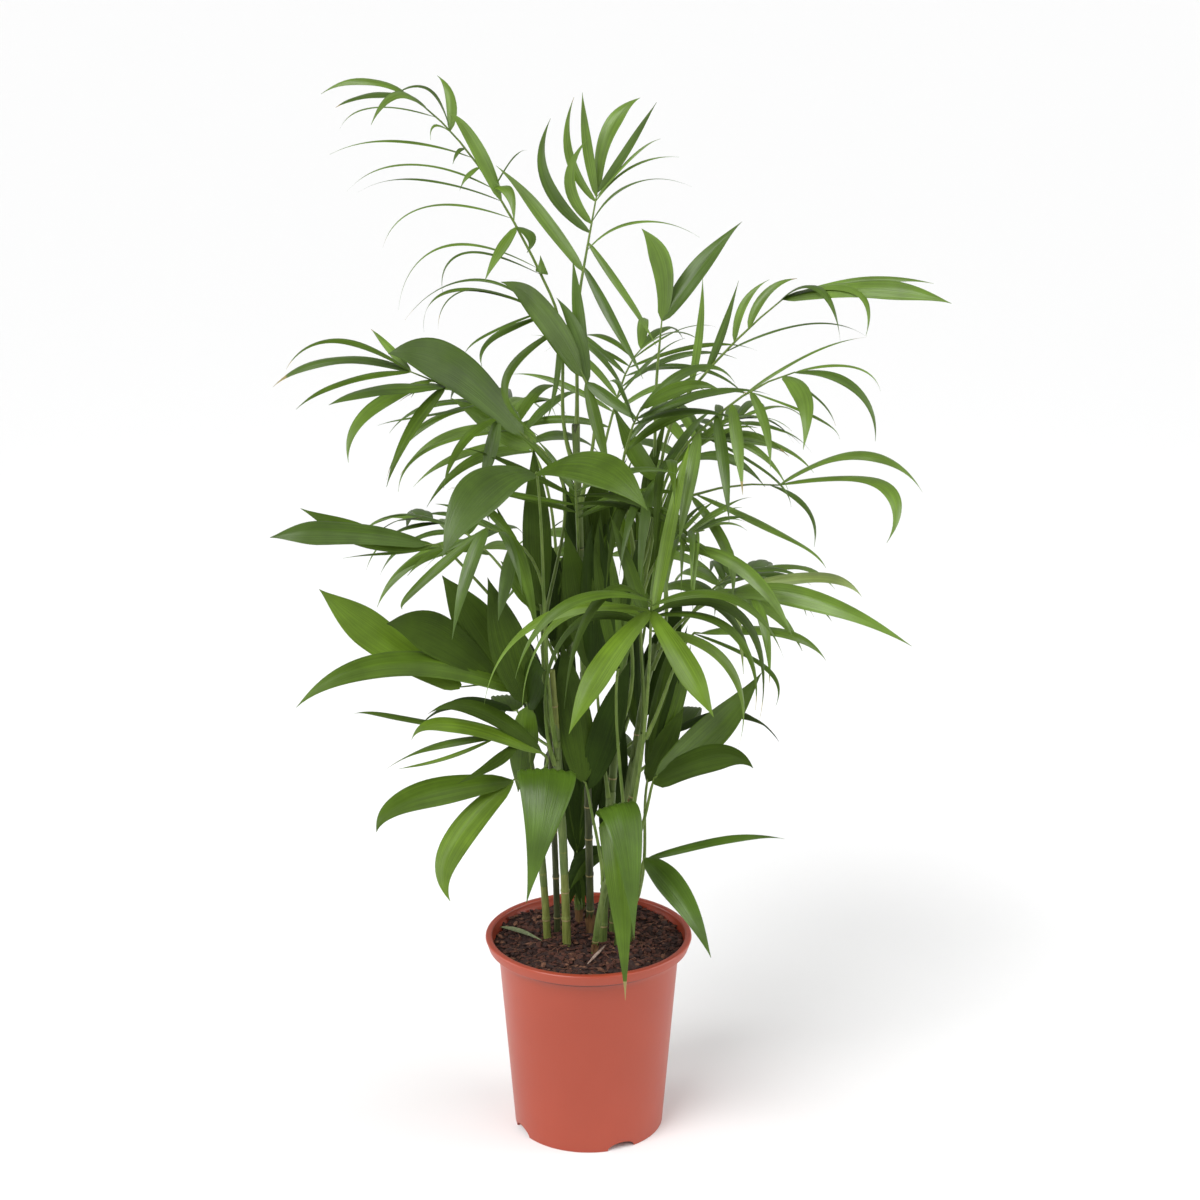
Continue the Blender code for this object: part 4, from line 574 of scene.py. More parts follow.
                      blade(0.5, (0.050, -0.065, 0.650), 0.026, 0.0, FRONT)]),
        Frond("back_high_left", "i", 0.50, (-0.055, 0.12, 0.68), (-0.12, 0.20, 0.725), arch=0.03,
              left=side(5, 0.13, 0.012, droop=0.5), right=side(5, 0.13, 0.012, droop=0.5),
              blades=[blade(1.0, (-0.19, 0.26, 0.71), 0.012, 0.03),
                      blade(1.0, (-0.15, 0.29, 0.70), 0.012, 0.03)]),
        Frond("back_high", "i", 0.49, (0.02, 0.14, 0.70), (0.055, 0.22, 0.77), arch=0.03,
              left=side(4, 0.13, 0.009, lift=25, droop=0.4), right=side(4, 0.13, 0.009, lift=25, droop=0.4),
              blades=[blade(1.0, (0.06, 0.30, 0.78), 0.012, 0.03),
                      blade(1.0, (0.10, 0.28, 0.77), 0.012, 0.03)]),
        Frond("back_high_right", "j", 0.44, (0.09, 0.13, 0.66), (0.155, 0.19, 0.70), arch=0.03,
              left=side(5, 0.13, 0.012, droop=0.5), right=side(5, 0.11, 0.012, droop=0.5),
              blades=[blade(1.0, (0.23, 0.22, 0.69), 0.012, 0.03),
                      blade(1.0, (0.19, 0.27, 0.69), 0.012, 0.03)]),
        Frond("back_mid_left", "i", 0.44, (-0.10, 0.13, 0.57), (-0.17, 0.20, 0.59), arch=0.02,
              left=side(4, 0.11, 0.016, droop=0.5), right=side(4, 0.11, 0.016, droop=0.5),
              blades=[blade(1.0, (-0.25, 0.22, 0.56), 0.02, 0.03),
                      blade(1.0, (-0.20, 0.28, 0.56), 0.02, 0.03)]),
        Frond("back_mid", "j", 0.43, (0.02, 0.18, 0.55), (0.03, 0.25, 0.57), arch=0.02,
              left=side(4, 0.13, 0.016, droop=0.5), right=side(4, 0.13, 0.016, droop=0.5),
              blades=[blade(1.0, (-0.01, 0.33, 0.55), 0.02, 0.03),
                      blade(1.0, (0.07, 0.33, 0.55), 0.02, 0.03)]),
        Frond("back_mid_right", "j", 0.40, (0.12, 0.12, 0.53), (0.17, 0.17, 0.54), arch=0.02,
              left=side(4, 0.11, 0.016, droop=0.5), right=side(4, 0.11, 0.016, droop=0.5),
              blades=[blade(1.0, (0.26, 0.18, 0.52), 0.02, 0.03),
                      blade(1.0, (0.20, 0.26, 0.51), 0.02, 0.03)]),
        Frond("back_low_left", "i", 0.36, (-0.07, 0.11, 0.40), (-0.08, 0.12, 0.405),
              blades=[blade(1.0, (-0.19, 0.15, 0.36), 0.03, 0.05),
                      blade(1.0, (-0.10, 0.25, 0.34), 0.034, 0.05)]),
        Frond("back_low", "i", 0.30, (0.0, 0.12, 0.35), (0.0, 0.13, 0.360), arch=0.001,
              blades=[blade(1.0, (-0.05, 0.22, 0.28), 0.036, 0.06),
                      blade(1.0, (0.05, 0.23, 0.30), 0.034, 0.06)]),
        Frond("back_low_right", "j", 0.33, (0.08, 0.10, 0.38), (0.09, 0.11, 0.385),
              blades=[blade(1.0, (0.20, 0.12, 0.37), 0.03, 0.05),
                      blade(1.0, (0.12, 0.24, 0.34), 0.032, 0.05)]),
    ]


def nudges(direction):
    """Small moves that a leaflet or petiole may have been given to clear its neighbours."""
    across = unit(np.cross(direction, UP) + (1e-6, 0, 0))
    moves = [UP * 0.0]
    for distance in (0.006, 0.012, 0.020, 0.030):
        for way in (UP, -UP, across, -across):
            moves.append(way * distance)
    return moves


def solid_surface(node):
    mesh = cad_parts[node].data
    return BVHTree.FromPolygons([vertex.co for vertex in mesh.vertices],
                                [list(polygon.vertices) for polygon in mesh.polygons])


def misfit(surface, points):
    """Largest distance from the points to the solid's surface."""
    return max(surface.find_nearest(Vector(point))[3] for point in points)


def settle_petiole(frond, surface):
    """Lay the petiole along the one that the frond's solid has."""
    foot, _, _, knee = frond.petiole_curve
    best = None
    for move in nudges(knee - foot):
        frond.lay(0.0, move)
        gap = misfit(surface, [frond.petiole(t) for t in (0.4, 0.6, 0.8)])
        if best is None or gap < best[0] - 0.001:
            best = (gap, move)
    frond.lay(0.0, best[1])


def settle_leaf(leaf, surface):
    """The leaflet moved as the frond's solid has it, or None where the solid lacks it."""
    stations = BROAD_LEAF_STATIONS if leaf.base > 0.4 and leaf.width > 0.018 else LEAF_STATIONS
    for move in nudges(leaf.curve[2] - leaf.curve[0]):
        tried = leaf.moved(move)
        if misfit(surface, [tried.spot(u) for u in (stations[-1], 1.0)]) < SAME_PLACE:
            return tried
    return None


class Shell:
    """Vertices and faces gathered for one piece."""

    def __init__(self):
        self.vertices = []
        self.faces = []
        self.spots = []

    def grid(self, rows, closed=False, spots=None):
        """Quads between rows of points; a closed row runs round. spots are the points' places on the skin."""
        width = len(rows[0])
        start = len(self.vertices)
        for row in rows:
            self.vertices += [tuple(point) for point in row]
        if spots is not None:
            self.spots += [spot for row in spots for spot in row]
        last = width if closed else width - 1
        for step in range(len(rows) - 1):
            low = start + step * width
            for place in range(last):
                after = (place + 1) % width
                self.faces.append((low + place, low + after, low + width + after, low + width + place))

    def fan(self, points):
        start = len(self.vertices)
        self.vertices += [tuple(point) for point in points]
        self.faces.append(tuple(range(start, start + len(points))))

    def made(self, name):
        """Object of the gathered faces, with its seams closed and its faces turned outward."""
        mesh = bpy.data.meshes.new(name)
        mesh.from_pydata(self.vertices, [], self.faces)
        if self.spots:
            places = mesh.uv_layers.new(name="along_leaf").data
            for loop in mesh.loops:
                places[loop.index].uv = self.spots[loop.vertex_index]
        joined = bmesh.new()
        joined.from_mesh(mesh)
        bmesh.ops.remove_doubles(joined, verts=joined.verts, dist=1e-6)
        bmesh.ops.recalc_face_normals(joined, faces=joined.faces)
        joined.to_mesh(mesh)
        joined.free()
        made = bpy.data.objects.new(name, mesh)
        bpy.context.scene.collection.objects.link(made)
        return made

    def piece(self, name, look, slot, nodes, smooth=True):
        piece = self.made(name)
        if smooth:
            piece.data.shade_smooth()
        piece.data.materials.append(look)
        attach(piece, "root")
        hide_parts(*nodes)
        return piece


def ring(centre, run, radius, sides, turn=0.0):
    """Circle of points about a centre, square to run."""
    across = unit(np.cross(run, (0.31, 0.95, 0.02)))
    upward = np.cross(across, run)
    points = []
    for step in range(sides):
        angle = 2 * math.pi * step / sides + turn
        points.append(centre + (across * math.cos(angle) + upward * math.sin(angle)) * radius)
    return points


# Materials

def blank_look(name, roughness):
    look = bpy.data.materials.new(name)
    look.use_nodes = True
    shader = look.node_tree.nodes["Principled BSDF"]
    shader.inputs["Roughness"].default_value = roughness
    return look, look.node_tree.nodes, look.node_tree.links, shader


def mottled(nodes, links, scale, detail, low, high, coordinates=None, spread=(0.3, 0.7)):
    """Noise turned into a blend between two colours."""
    noise = nodes.new("ShaderNodeTexNoise")
    noise.inputs["Scale"].default_value = scale
    noise.inputs["Detail"].default_value = detail
    if coordinates is not None:
        links.new(coordinates, noise.inputs["Vector"])
    ramp = nodes.new("ShaderNodeValToRGB")
    ramp.color_ramp.elements[0].position = spread[0]
    ramp.color_ramp.elements[1].position = spread[1]
    ramp.color_ramp.elements[0].color = (*low, 1.0)
    ramp.color_ramp.elements[1].color = (*high, 1.0)
    links.new(noise.outputs["Fac"], ramp.inputs["Fac"])
    return noise, ramp


def add_bump(nodes, links, shader, height, strength, distance):
    bump = nodes.new("ShaderNodeBump")
    bump.inputs["Strength"].default_value = strength
    bump.inputs["Distance"].default_value = distance
    links.new(height, bump.inputs["Height"])
    links.new(bump.outputs["Normal"], shader.inputs["Normal"])


def leaf_look(name, colour, roughness, specular):
    """Leaf skin: cloudy green with fine lengthwise veins that are a little paler and raised."""
    look, nodes, links, shader = blank_look(name, roughness)
    place = nodes.new("ShaderNodeTexCoord")
    dark = tuple(part * 0.78 for part in colour)
    light = tuple(min(part * 1.25, 1.0) for part in colour)
    _, ramp = mottled(nodes, links, 26.0, 3.0, dark, light, place.outputs["Object"])
    stretch = nodes.new("ShaderNodeMapping")
    stretch.inputs["Scale"].default_value = (1100.0, 9.0, 1.0)
    links.new(place.outputs["UV"], stretch.inputs["Vector"])
    veins = nodes.new("ShaderNodeTexNoise")
    veins.noise_dimensions = "2D"
    veins.inputs["Scale"].default_value = 1.0
    veins.inputs["Detail"].default_value = 2.0
    links.new(stretch.outputs["Vector"], veins.inputs["Vector"])
    paler = nodes.new("ShaderNodeMapRange")
    paler.inputs["From Min"].default_value = 0.35
    paler.inputs["From Max"].default_value = 0.70
    paler.inputs["To Min"].default_value = 0.86
    paler.inputs["To Max"].default_value = 1.20
    links.new(veins.outputs["Fac"], paler.inputs["Value"])
    striped = nodes.new("ShaderNodeVectorMath")
    striped.operation = "SCALE"
    links.new(ramp.outputs["Color"], striped.inputs[0])
    links.new(paler.outputs["Result"], striped.inputs["Scale"])
    links.new(striped.outputs["Vector"], shader.inputs["Base Color"])
    add_bump(nodes, links, shader, veins.outputs["Fac"], 0.35, 0.0006)
    shader.inputs["Specular IOR Level"].default_value = specular
    return look


def cane_look(name, low, high, roughness=0.45):
    look, nodes, links, shader = blank_look(name, roughness)
    place = nodes.new("ShaderNodeTexCoord")
    stretch = nodes.new("ShaderNodeMapping")
    stretch.inputs["Scale"].default_value = (1.0, 1.0, 0.12)
    links.new(place.outputs["Object"], stretch.inputs["Vector"])
    noise, ramp = mottled(nodes, links, 320.0, 4.0, low, high, stretch.outputs["Vector"])
    links.new(ramp.outputs["Color"], shader.inputs["Base Color"])
    add_bump(nodes, links, shader, noise.outputs["Fac"], 0.3, 0.0005)
    shader.inputs["Specular IOR Level"].default_value = 0.22
    return look


def crease_shade(nodes, links, place):
    """Darkening factor of the painted shade in the crease under the rim band: 1 away from it."""
    split = nodes.new("ShaderNodeSeparateXYZ")
    links.new(place.outputs["Object"], split.inputs["Vector"])
    offset = nodes.new("ShaderNodeMath")
    offset.operation = "SUBTRACT"
    offset.inputs[1].default_value = POT_HEIGHT - RIM_DROP - 0.0030
    links.new(split.outputs["Z"], offset.inputs[0])
    distance = nodes.new("ShaderNodeMath")
    distance.operation = "ABSOLUTE"
    links.new(offset.outputs["Value"], distance.inputs[0])
    fade = nodes.new("ShaderNodeMapRange")
    fade.inputs["From Min"].default_value = 0.0012
    fade.inputs["From Max"].default_value = 0.0026
    fade.inputs["To Min"].default_value = 0.42
    fade.inputs["To Max"].default_value = 1.0
    links.new(distance.outputs["Value"], fade.inputs["Value"])
    return fade.outputs["Result"]


def pot_look():
    """Moulded plastic: even colour with painted shade in the crease under the rim band, a faint cloudiness and a
    fine orange-peel gloss.
    """
    look, nodes, links, shader = blank_look("terracotta_plastic", 0.36)
    place = nodes.new("ShaderNodeTexCoord")
    _, ramp = mottled(nodes, links, 9.0, 5.0, (0.310, 0.046, 0.020), (0.345, 0.053, 0.024),
                      place.outputs["Object"])
    # Painted shade: the colour is darkened in a thin band in the crease just under the rim band.
    creased = nodes.new("ShaderNodeVectorMath")
    creased.operation = "SCALE"
    links.new(ramp.outputs["Color"], creased.inputs[0])
    links.new(crease_shade(nodes, links, place), creased.inputs["Scale"])
    links.new(creased.outputs["Vector"], shader.inputs["Base Color"])
    peel = nodes.new("ShaderNodeTexNoise")
    peel.inputs["Scale"].default_value = 260.0
    peel.inputs["Detail"].default_value = 3.0
    links.new(place.outputs["Object"], peel.inputs["Vector"])
    add_bump(nodes, links, shader, peel.outputs["Fac"], 0.12, 0.0004)
    smear = nodes.new("ShaderNodeTexNoise")
    smear.inputs["Scale"].default_value = 14.0
    smear.inputs["Detail"].default_value = 4.0
    links.new(place.outputs["Object"], smear.inputs["Vector"])
    gloss = nodes.new("ShaderNodeMapRange")
    gloss.inputs["To Min"].default_value = 0.30
    gloss.inputs["To Max"].default_value = 0.44
    links.new(smear.outputs["Fac"], gloss.inputs["Value"])
    links.new(gloss.outputs["Result"], shader.inputs["Roughness"])
    return look


def crumb_look(name, low, high):
    look, nodes, links, shader = blank_look(name, 0.92)
    place = nodes.new("ShaderNodeTexCoord")
    noise, ramp = mottled(nodes, links, 380.0, 5.0, low, high, place.outputs["Object"])
    links.new(ramp.outputs["Color"], shader.inputs["Base Color"])
    add_bump(nodes, links, shader, noise.outputs["Fac"], 0.6, 0.0015)
    return look


# Pot

def arc(centre, radius, start, end, steps):
    """Points on a quarter or other arc, as (radius, height) pairs; angles in degrees."""
    points = []
    for step in range(steps + 1):
        angle = math.radians(start + (end - start) * step / steps)
        points.append((centre[0] + radius * math.cos(angle), centre[1] + radius * math.sin(angle)))
    return points


def pot_profile():
    """Outline from the rim down the outer side, under the pot and up the inner side."""
    bead = 0.0022
    edge = 0.0007
    skirt_foot = POT_HEIGHT - RIM_DROP
    groove_top = skirt_foot + RIM_GROOVE_DEPTH
    skirt_radius = RIM_RADIUS - RIM_TAPER
    bends = [skirt_foot - FLARE_HEIGHT * step / 8 for step in range(9)]
    channel_outer = BODY_BASE_RADIUS - FOOT_WIDTH
    channel_top = CHANNEL_DEPTH + FLOOR
    outline = arc((RIM_RADIUS - bead, POT_HEIGHT - bead), bead, 90, 0, 8)
    outline += arc((skirt_radius - edge, skirt_foot + edge), edge, 0, -180, 8)
    outline += [(skirt_radius - WALL, groove_top), (RIM_INNER_RADIUS + WALL * 0.75, groove_top)]
    outline += [(outer_radius(z), z) for z in bends]
    for step in range(1, 12):
        z = bends[-1] * (1 - step / 12)
        outline.append((outer_radius(z), z))
    outline += arc((BODY_BASE_RADIUS - edge, edge), edge, 0, -90, 4)
    outline += arc((channel_outer + edge, edge), edge, -90, -180, 4)
    outline += [(channel_outer - 0.002, CHANNEL_DEPTH), (UNDERSIDE_PAD_RADIUS + 0.002, CHANNEL_DEPTH)]
    outline += [(UNDERSIDE_PAD_RADIUS, 0.0), (0.0, 0.0), (0.0, FLOOR), (UNDERSIDE_PAD_RADIUS - WALL, FLOOR)]
    outline += [(UNDERSIDE_PAD_RADIUS, channel_top), (inner_radius(channel_top), channel_top)]
    outline += [(inner_radius(z), z) for z in reversed(bends)]
    outline += [(RIM_INNER_RADIUS - 0.0008, groove_top + 0.0005)]
    outline += arc((RIM_INNER_RADIUS + bead, POT_HEIGHT - bead), bead, 180, 90, 8)
    return outline


def rod(start, end, radius, sides, flatten=1.0):
    """Straight rod with a round or flattened section, used to cut openings."""
    shell = Shell()
    axis = unit(end - start)
    across = unit(np.cross(axis, UP)) if abs(axis[2]) < 0.9 else np.array((1.0, 0.0, 0.0))
    upward = np.cross(across, axis) * flatten
    rows = []
    for centre in (start, end):
        angles = [2 * math.pi * (step + 0.5) / sides for step in range(sides)]
        rows.append([centre + (across * math.cos(a) + upward * math.sin(a)) * radius for a in angles])
    shell.grid(rows, closed=True)
    shell.fan(rows[0])
    shell.fan(rows[1])
    return shell.made("cutter")


def cut(target, cutters):
    """Cut the cutters from the target and remove them."""
    for cutter in cutters:
        change = target.modifiers.new("cut", "BOOLEAN")
        change.operation = "DIFFERENCE"
        change.object = cutter
        change.solver = "EXACT"
    graph = bpy.context.evaluated_depsgraph_get()
    result = bpy.data.meshes.new_from_object(target.evaluated_get(graph))
    target.modifiers.clear()
    target.data = result
    for cutter in cutters:
        bpy.data.objects.remove(cutter)


def make_pot():
    """Pot with its flared rim band, grooved underside, drain notches in the foot and drain holes."""
    shell = Shell()
    outline = pot_profile()
    rows = []
    for radius, z in outline + outline[:1]:
        angles = [2 * math.pi * step / ROUND_STEPS for step in range(ROUND_STEPS)]
        rows.append([(radius * math.cos(a), radius * math.sin(a), z) for a in angles])
    shell.grid(rows, closed=True)
    pot = shell.piece("pot_shell", pot_look(), "pot_plastic", ["pot"])
    cutters = []
    for number in range(NOTCH_COUNT):
        way = heading(FIRST_NOTCH_ANGLE + 360 * number / NOTCH_COUNT)
        flatten = NOTCH_HEIGHT / (NOTCH_WIDTH / 2)
        inside = way * (BODY_BASE_RADIUS - FOOT_WIDTH - 0.006)
        outside = way * (BODY_BASE_RADIUS + 0.010)
        cutters.append(rod(inside, outside, NOTCH_WIDTH / 2, 40, flatten))
    middle = (UNDERSIDE_PAD_RADIUS + BODY_BASE_RADIUS - FOOT_WIDTH) / 2
    for number in range(DRAIN_HOLE_COUNT):
        centre = heading(360 * (number + 0.5) / DRAIN_HOLE_COUNT) * middle
        cutters.append(rod(centre, centre + UP * 0.02, DRAIN_HOLE_RADIUS, 24))
    cut(pot, cutters)
    pot.data.set_sharp_from_angle(angle=math.radians(38))


# Soil

def lumpy(x, y):
    """Uneven height of the mix's surface."""
    return (0.0014 * math.sin(95 * x + 40 * y) + 0.0011 * math.sin(150 * y - 60 * x + 1.3)
            + 0.0008 * math.sin(310 * x + 270 * y + 0.7) + 0.0006 * math.sin(520 * x - 410 * y))


def top_of_mix(x, y):
    return soil_height(x, y) - 0.0015 + lumpy(x, y)


def add_bed(shell, dice):
    """Uneven surface of the mix from its middle out to the pot's wall."""
    rows = []
    for number in range(SOIL_RINGS + 1):
        radius = SOIL_RADIUS * number / SOIL_RINGS
        row = []
        for spoke in range(SOIL_SPOKES):
            angle = 2 * math.pi * spoke / SOIL_SPOKES
            x, y = radius * math.cos(angle), radius * math.sin(angle)
            rough = dice.uniform(-0.0006, 0.0006) if 0 < number < SOIL_RINGS else 0.0
            row.append((x, y, top_of_mix(x, y) + rough))
        rows.append(row)
    shell.grid(rows, closed=True)


def somewhere(dice, share):
    """A place on the mix, evenly spread over this share of its radius, and a heading there."""
    radius = SOIL_RADIUS * math.sqrt(dice.random()) * share
    angle = dice.uniform(0, 2 * math.pi)
    x, y = radius * math.cos(angle), radius * math.sin(angle)
    return np.array((x, y, top_of_mix(x, y))), dice.uniform(0, 2 * math.pi)


def add_chip(shell, dice):
    """Broken flake of bark or peat that lies nearly flat on the mix."""
    centre, turn = somewhere(dice, 0.985)
    size = 0.0009 + 0.0030 * dice.random() ** 1.6
    centre[2] += 0.0007 + size * 0.2
    run = unit(np.array((math.cos(turn), math.sin(turn), dice.gauss(0, 0.25))))
    long = size * dice.uniform(0.9, 2.1)
    flat = dice.uniform(0.35, 0.75)
    rows = []
    for share in (-1.0, -0.45, 0.35, 1.0):
        girth = size * (1 - share * share) ** 0.5 * dice.uniform(0.5, 1.0) + 1e-5
        circle = ring(centre + run * long * share, run, girth, 6, dice.uniform(0, 0.8))
        rows.append([point - UP * (point[2] - centre[2]) * (1 - flat) for point in circle])
    shell.grid(rows, closed=True)


def add_strand(shell, points, radius):
    """Thin strand through the points, fullest in its middle."""
    rows = []
    for place, point in enumerate(points):
        before, after = points[max(place - 1, 0)], points[min(place + 1, len(points) - 1)]
        fullness = 0.3 + 0.7 * math.sin(math.pi * place / (len(points) - 1))
        rows.append(ring(point, unit(after - before), radius * fullness, 5))
    shell.grid(rows, closed=True)


def add_fibre(shell, dice):
    """Root fibre that lies in a slow bend on the mix."""
    point, turn = somewhere(dice, 0.9)
    bent = dice.uniform(-0.45, 0.45)
    step = dice.uniform(0.0012, 0.0030)
    points = []
    for _ in range(7):
        points.append(np.array((point[0], point[1], top_of_mix(point[0], point[1]) + 0.0022)))
        point = point + heading(math.degrees(turn)) * step
        turn += bent
    if np.linalg.norm(point[:2]) < SOIL_RADIUS - 0.002:
        add_strand(shell, points, dice.uniform(0.00022, 0.00045))


def on_mix(x, y):
    return np.array((x, y, top_of_mix(x, y) + 0.0035))


def add_scrap(shell, start, end):
    """Fallen leaf scrap: a narrow trough that is widest in its middle."""
    rows = []
    for step in range(15):
        u = step / 14
        half = 0.0035 * math.sin(math.pi * u ** 0.8) + 0.0003
        middle = start + (end - start) * u + UP * 0.002 * math.sin(math.pi * u)
        rows.append([middle + np.array((0.45, 0.89, 0.1)) * half * c + UP * 0.3 * half * abs(c)
                     for c in (-1, -0.5, 0, 0.5, 1)])
    shell.grid(rows)


def make_soil():
    """Surface of the mix, the flakes and fibres that lie on it, and the scraps fallen on them."""
    dice = random.Random(11)
    looks = {name: crumb_look("mix_" + name, low, high) for name, (low, high, _) in MIX_COLOURS.items()}
    bed = Shell()
    add_bed(bed, dice)
    bed.piece("mix_surface", looks["dark"], "potting_mix", ["soil"])
    shells = {name: Shell() for name in MIX_COLOURS}
    weights = [weight for _, _, weight in MIX_COLOURS.values()]
    for _ in range(CHIP_COUNT):
        add_chip(shells[dice.choices(list(shells), weights)[0]], dice)
    for name, shell in shells.items():
        shell.piece("mix_flakes_" + name, looks[name], "potting_mix", ["soil"], smooth=False)
    fibres = Shell()
    for _ in range(FIBRE_COUNT):
        add_fibre(fibres, dice)
    fibres.piece("mix_fibres", looks["tan"], "potting_mix", ["soil"])
    scrap = Shell()
    add_scrap(scrap, on_mix(*SCRAP_ENDS[0]), on_mix(*SCRAP_ENDS[1]))
    scrap.piece("fallen_scrap", crumb_look("dry_scrap", (0.085, 0.105, 0.045), (0.190, 0.215, 0.110)),
                "potting_mix", ["soil"])
    stick = Shell()
    start, end = on_mix(*STICK_ENDS[0]), on_mix(*STICK_ENDS[1])
    add_strand(stick, [start + (end - start) * u for u in np.linspace(0, 1, 9)], STICK_RADIUS)
    stick.piece("fallen_stick", crumb_look("dry_stick", (0.20, 0.12, 0.09), (0.42, 0.32, 0.26)),
                "potting_mix", ["soil"])


# Canes

CANE_SKINS = {
    "yellow": ("eg", (0.085, 0.105, 0.018), (0.190, 0.215, 0.055)),
    "green": ("bcdhk", (0.045, 0.075, 0.014), (0.120, 0.165, 0.040)),
    # The dark skin, on the canes toward the back of the clump, is partly their own dull brownish green and partly
    # painted shade.
    "dark": ("afij", (0.022, 0.030, 0.010), (0.075, 0.085, 0.030)),
}
HUSKS = {"a": 0.026, "d": 0.012, "h": 0.012, "i": 0.024}


def nodes_between(length, dice):
    """Places of a cane's rings, in shares of its length."""
    rings = []
    place = dice.uniform(0.01, 0.03)
    while place < length - 0.02:
        rings.append(place / length)
        place += dice.uniform(0.030, 0.058)
    return rings


def add_cane(skin, scars, cane, dice):
    """Cane that swells at each of its rings, with a pale scar under the ring."""
    length = np.linalg.norm(cane.top - cane.foot)
    rings = nodes_between(length, dice)
    offsets = (-0.004, -0.0015, 0.0, 0.0012, 0.003)
    near = [mark + offset / length for mark in rings for offset in offsets]
    shares = sorted({min(max(share, 0.0), 1.0) for share in near + [step / 60 for step in range(61)]})
    rows = []
    for share in shares:
        swell = 1 + 0.16 * math.exp(-(min(abs(share - mark) for mark in rings) * length / 0.0014) ** 2)
        centre = cane.point(share) - UP * (0.004 if share == 0 else 0.0)
        rows.append(ring(centre, slope(cane.curve, share), cane.radius(share) * swell, 14))
    skin.grid(rows, closed=True)
    skin.fan(rows[-1])
    for mark in rings:
        band = []
        for offset, grow in ((-0.0026, -0.0001), (-0.0019, 0.00018), (-0.0010, 0.00018), (-0.0004, -0.0001)):
            share = max(mark + offset / length, 0.0)
            band.append(ring(cane.point(share), slope(cane.curve, share), cane.radius(share) * 1.05 + grow, 14))
        scars.grid(band, closed=True)


def add_husk(shell, cane, low, height, dice):
    """Dry sheath that stands round the cane from share low upward, torn along its upper edge."""
    length = np.linalg.norm(cane.top - cane.foot)
    torn = [dice.uniform(0.55, 1.0) for _ in range(18)]
    rows = []
    for step in range(6):
        row = []
        for place, reach in enumerate(torn):
            share = low + height * reach * step / 5 / length
            loose = 1.10 + (0.10 + 0.35 * reach) * (step / 5) ** 2
            circle = ring(cane.point(share), slope(cane.curve, share), cane.radius(share) * loose, 18)
            row.append(circle[place])
        rows.append(row)
    shell.grid(rows, closed=True)


def make_canes():
    """Ringed canes in three greens, with dry husks round some of their feet."""
    nodes = ["cane_" + letter for letter in CANES]
    dice = random.Random(5)
    scars = Shell()
    for name, (letters, low, high) in CANE_SKINS.items():
        skin = Shell()
        for letter in letters:
            add_cane(skin, scars, Cane(*CANES[letter]), dice)
        look = cane_look("cane_" + name, low, high)
        skin.piece("canes_" + name, look, "cane_green", ["cane_" + letter for letter in letters])
    husks = Shell()
    for letter, height in HUSKS.items():
        cane = Cane(*CANES[letter])
        add_husk(husks, cane, cane.share_at(0.355) if letter == "d" else 0.0, height, dice)
    scar = cane_look("cane_scar", (0.16, 0.13, 0.05), (0.34, 0.28, 0.13), 0.7)
    scars.piece("cane_scars", scar, "cane_green", nodes)
    paper = cane_look("dry_husk", (0.050, 0.022, 0.010), (0.21, 0.115, 0.045), 0.8)
    husks.piece("dry_husks", paper, "cane_green", nodes)


# Fronds

def add_rib(shell, frond):
    """Petiole with its broad foot on the cane, and the rib to the frond's tip."""
    rows = []
    for step in range(PETIOLE_STEPS):
        share = step / PETIOLE_STEPS
        radius = RIB_RADIUS_AT_CANE + (RIB_RADIUS_AT_KNEE - RIB_RADIUS_AT_CANE) * share
        radius *= 1 + 0.5 * math.exp(-share * 12)
        rows.append(ring(frond.petiole(share), slope(frond.petiole_curve, share), radius, 8))
    steps = 16
    for step in range(steps + 1):
        share = step / steps
        radius = RIB_RADIUS_AT_KNEE + (RIB_RADIUS_AT_TIP - RIB_RADIUS_AT_KNEE) * share
        rows.append(ring(frond.rib(share), slope(frond.rib_curve, share), radius, 8))
    shell.grid(rows, closed=True)
    shell.fan(rows[-1])


def add_sheath(shell, frond, stem, share):
    """Leaf base that wraps the cane below the petiole and opens toward it."""
    length = np.linalg.norm(stem.top - stem.foot)
    rows = []
    for offset, grow, lean in ((-0.060, 0.0001, 0.0), (-0.045, 0.0004, 0.0), (-0.020, 0.0005, 0.0),
                               (-0.008, 0.0008, 0.0005), (0.002, 0.0011, 0.0013), (0.005, 0.0009, 0.0022)):
        place = share + offset / length
        if place < 0.02:
            continue
        centre = stem.point(place) + frond.out * lean
        rows.append(ring(centre, slope(stem.curve, place), stem.radius(place) + grow, 16))
    if len(rows) > 1:
        shell.grid(rows, closed=True)


def half_width(leaf, u):
    """Half the leaflet's width at u: drawn in to its stalk, fullest early, drawn out to a fine tip."""
    swell = leaf.base + (1 - leaf.base) * math.sin(math.pi / 2 * min(u / leaf.fullest, 1.0))
    stalk = STALK_SHARE + (1 - STALK_SHARE) * math.sin(math.pi / 2 * min(u / STALK_RUN, 1.0))
    fall = max(math.cos(math.pi / 2 * max((u - leaf.fullest) / (1 - leaf.fullest), 0.0)), 0.0)
    return max(leaf.width / 2 * swell * stalk * fall ** TIP_FINENESS, 0.00015)


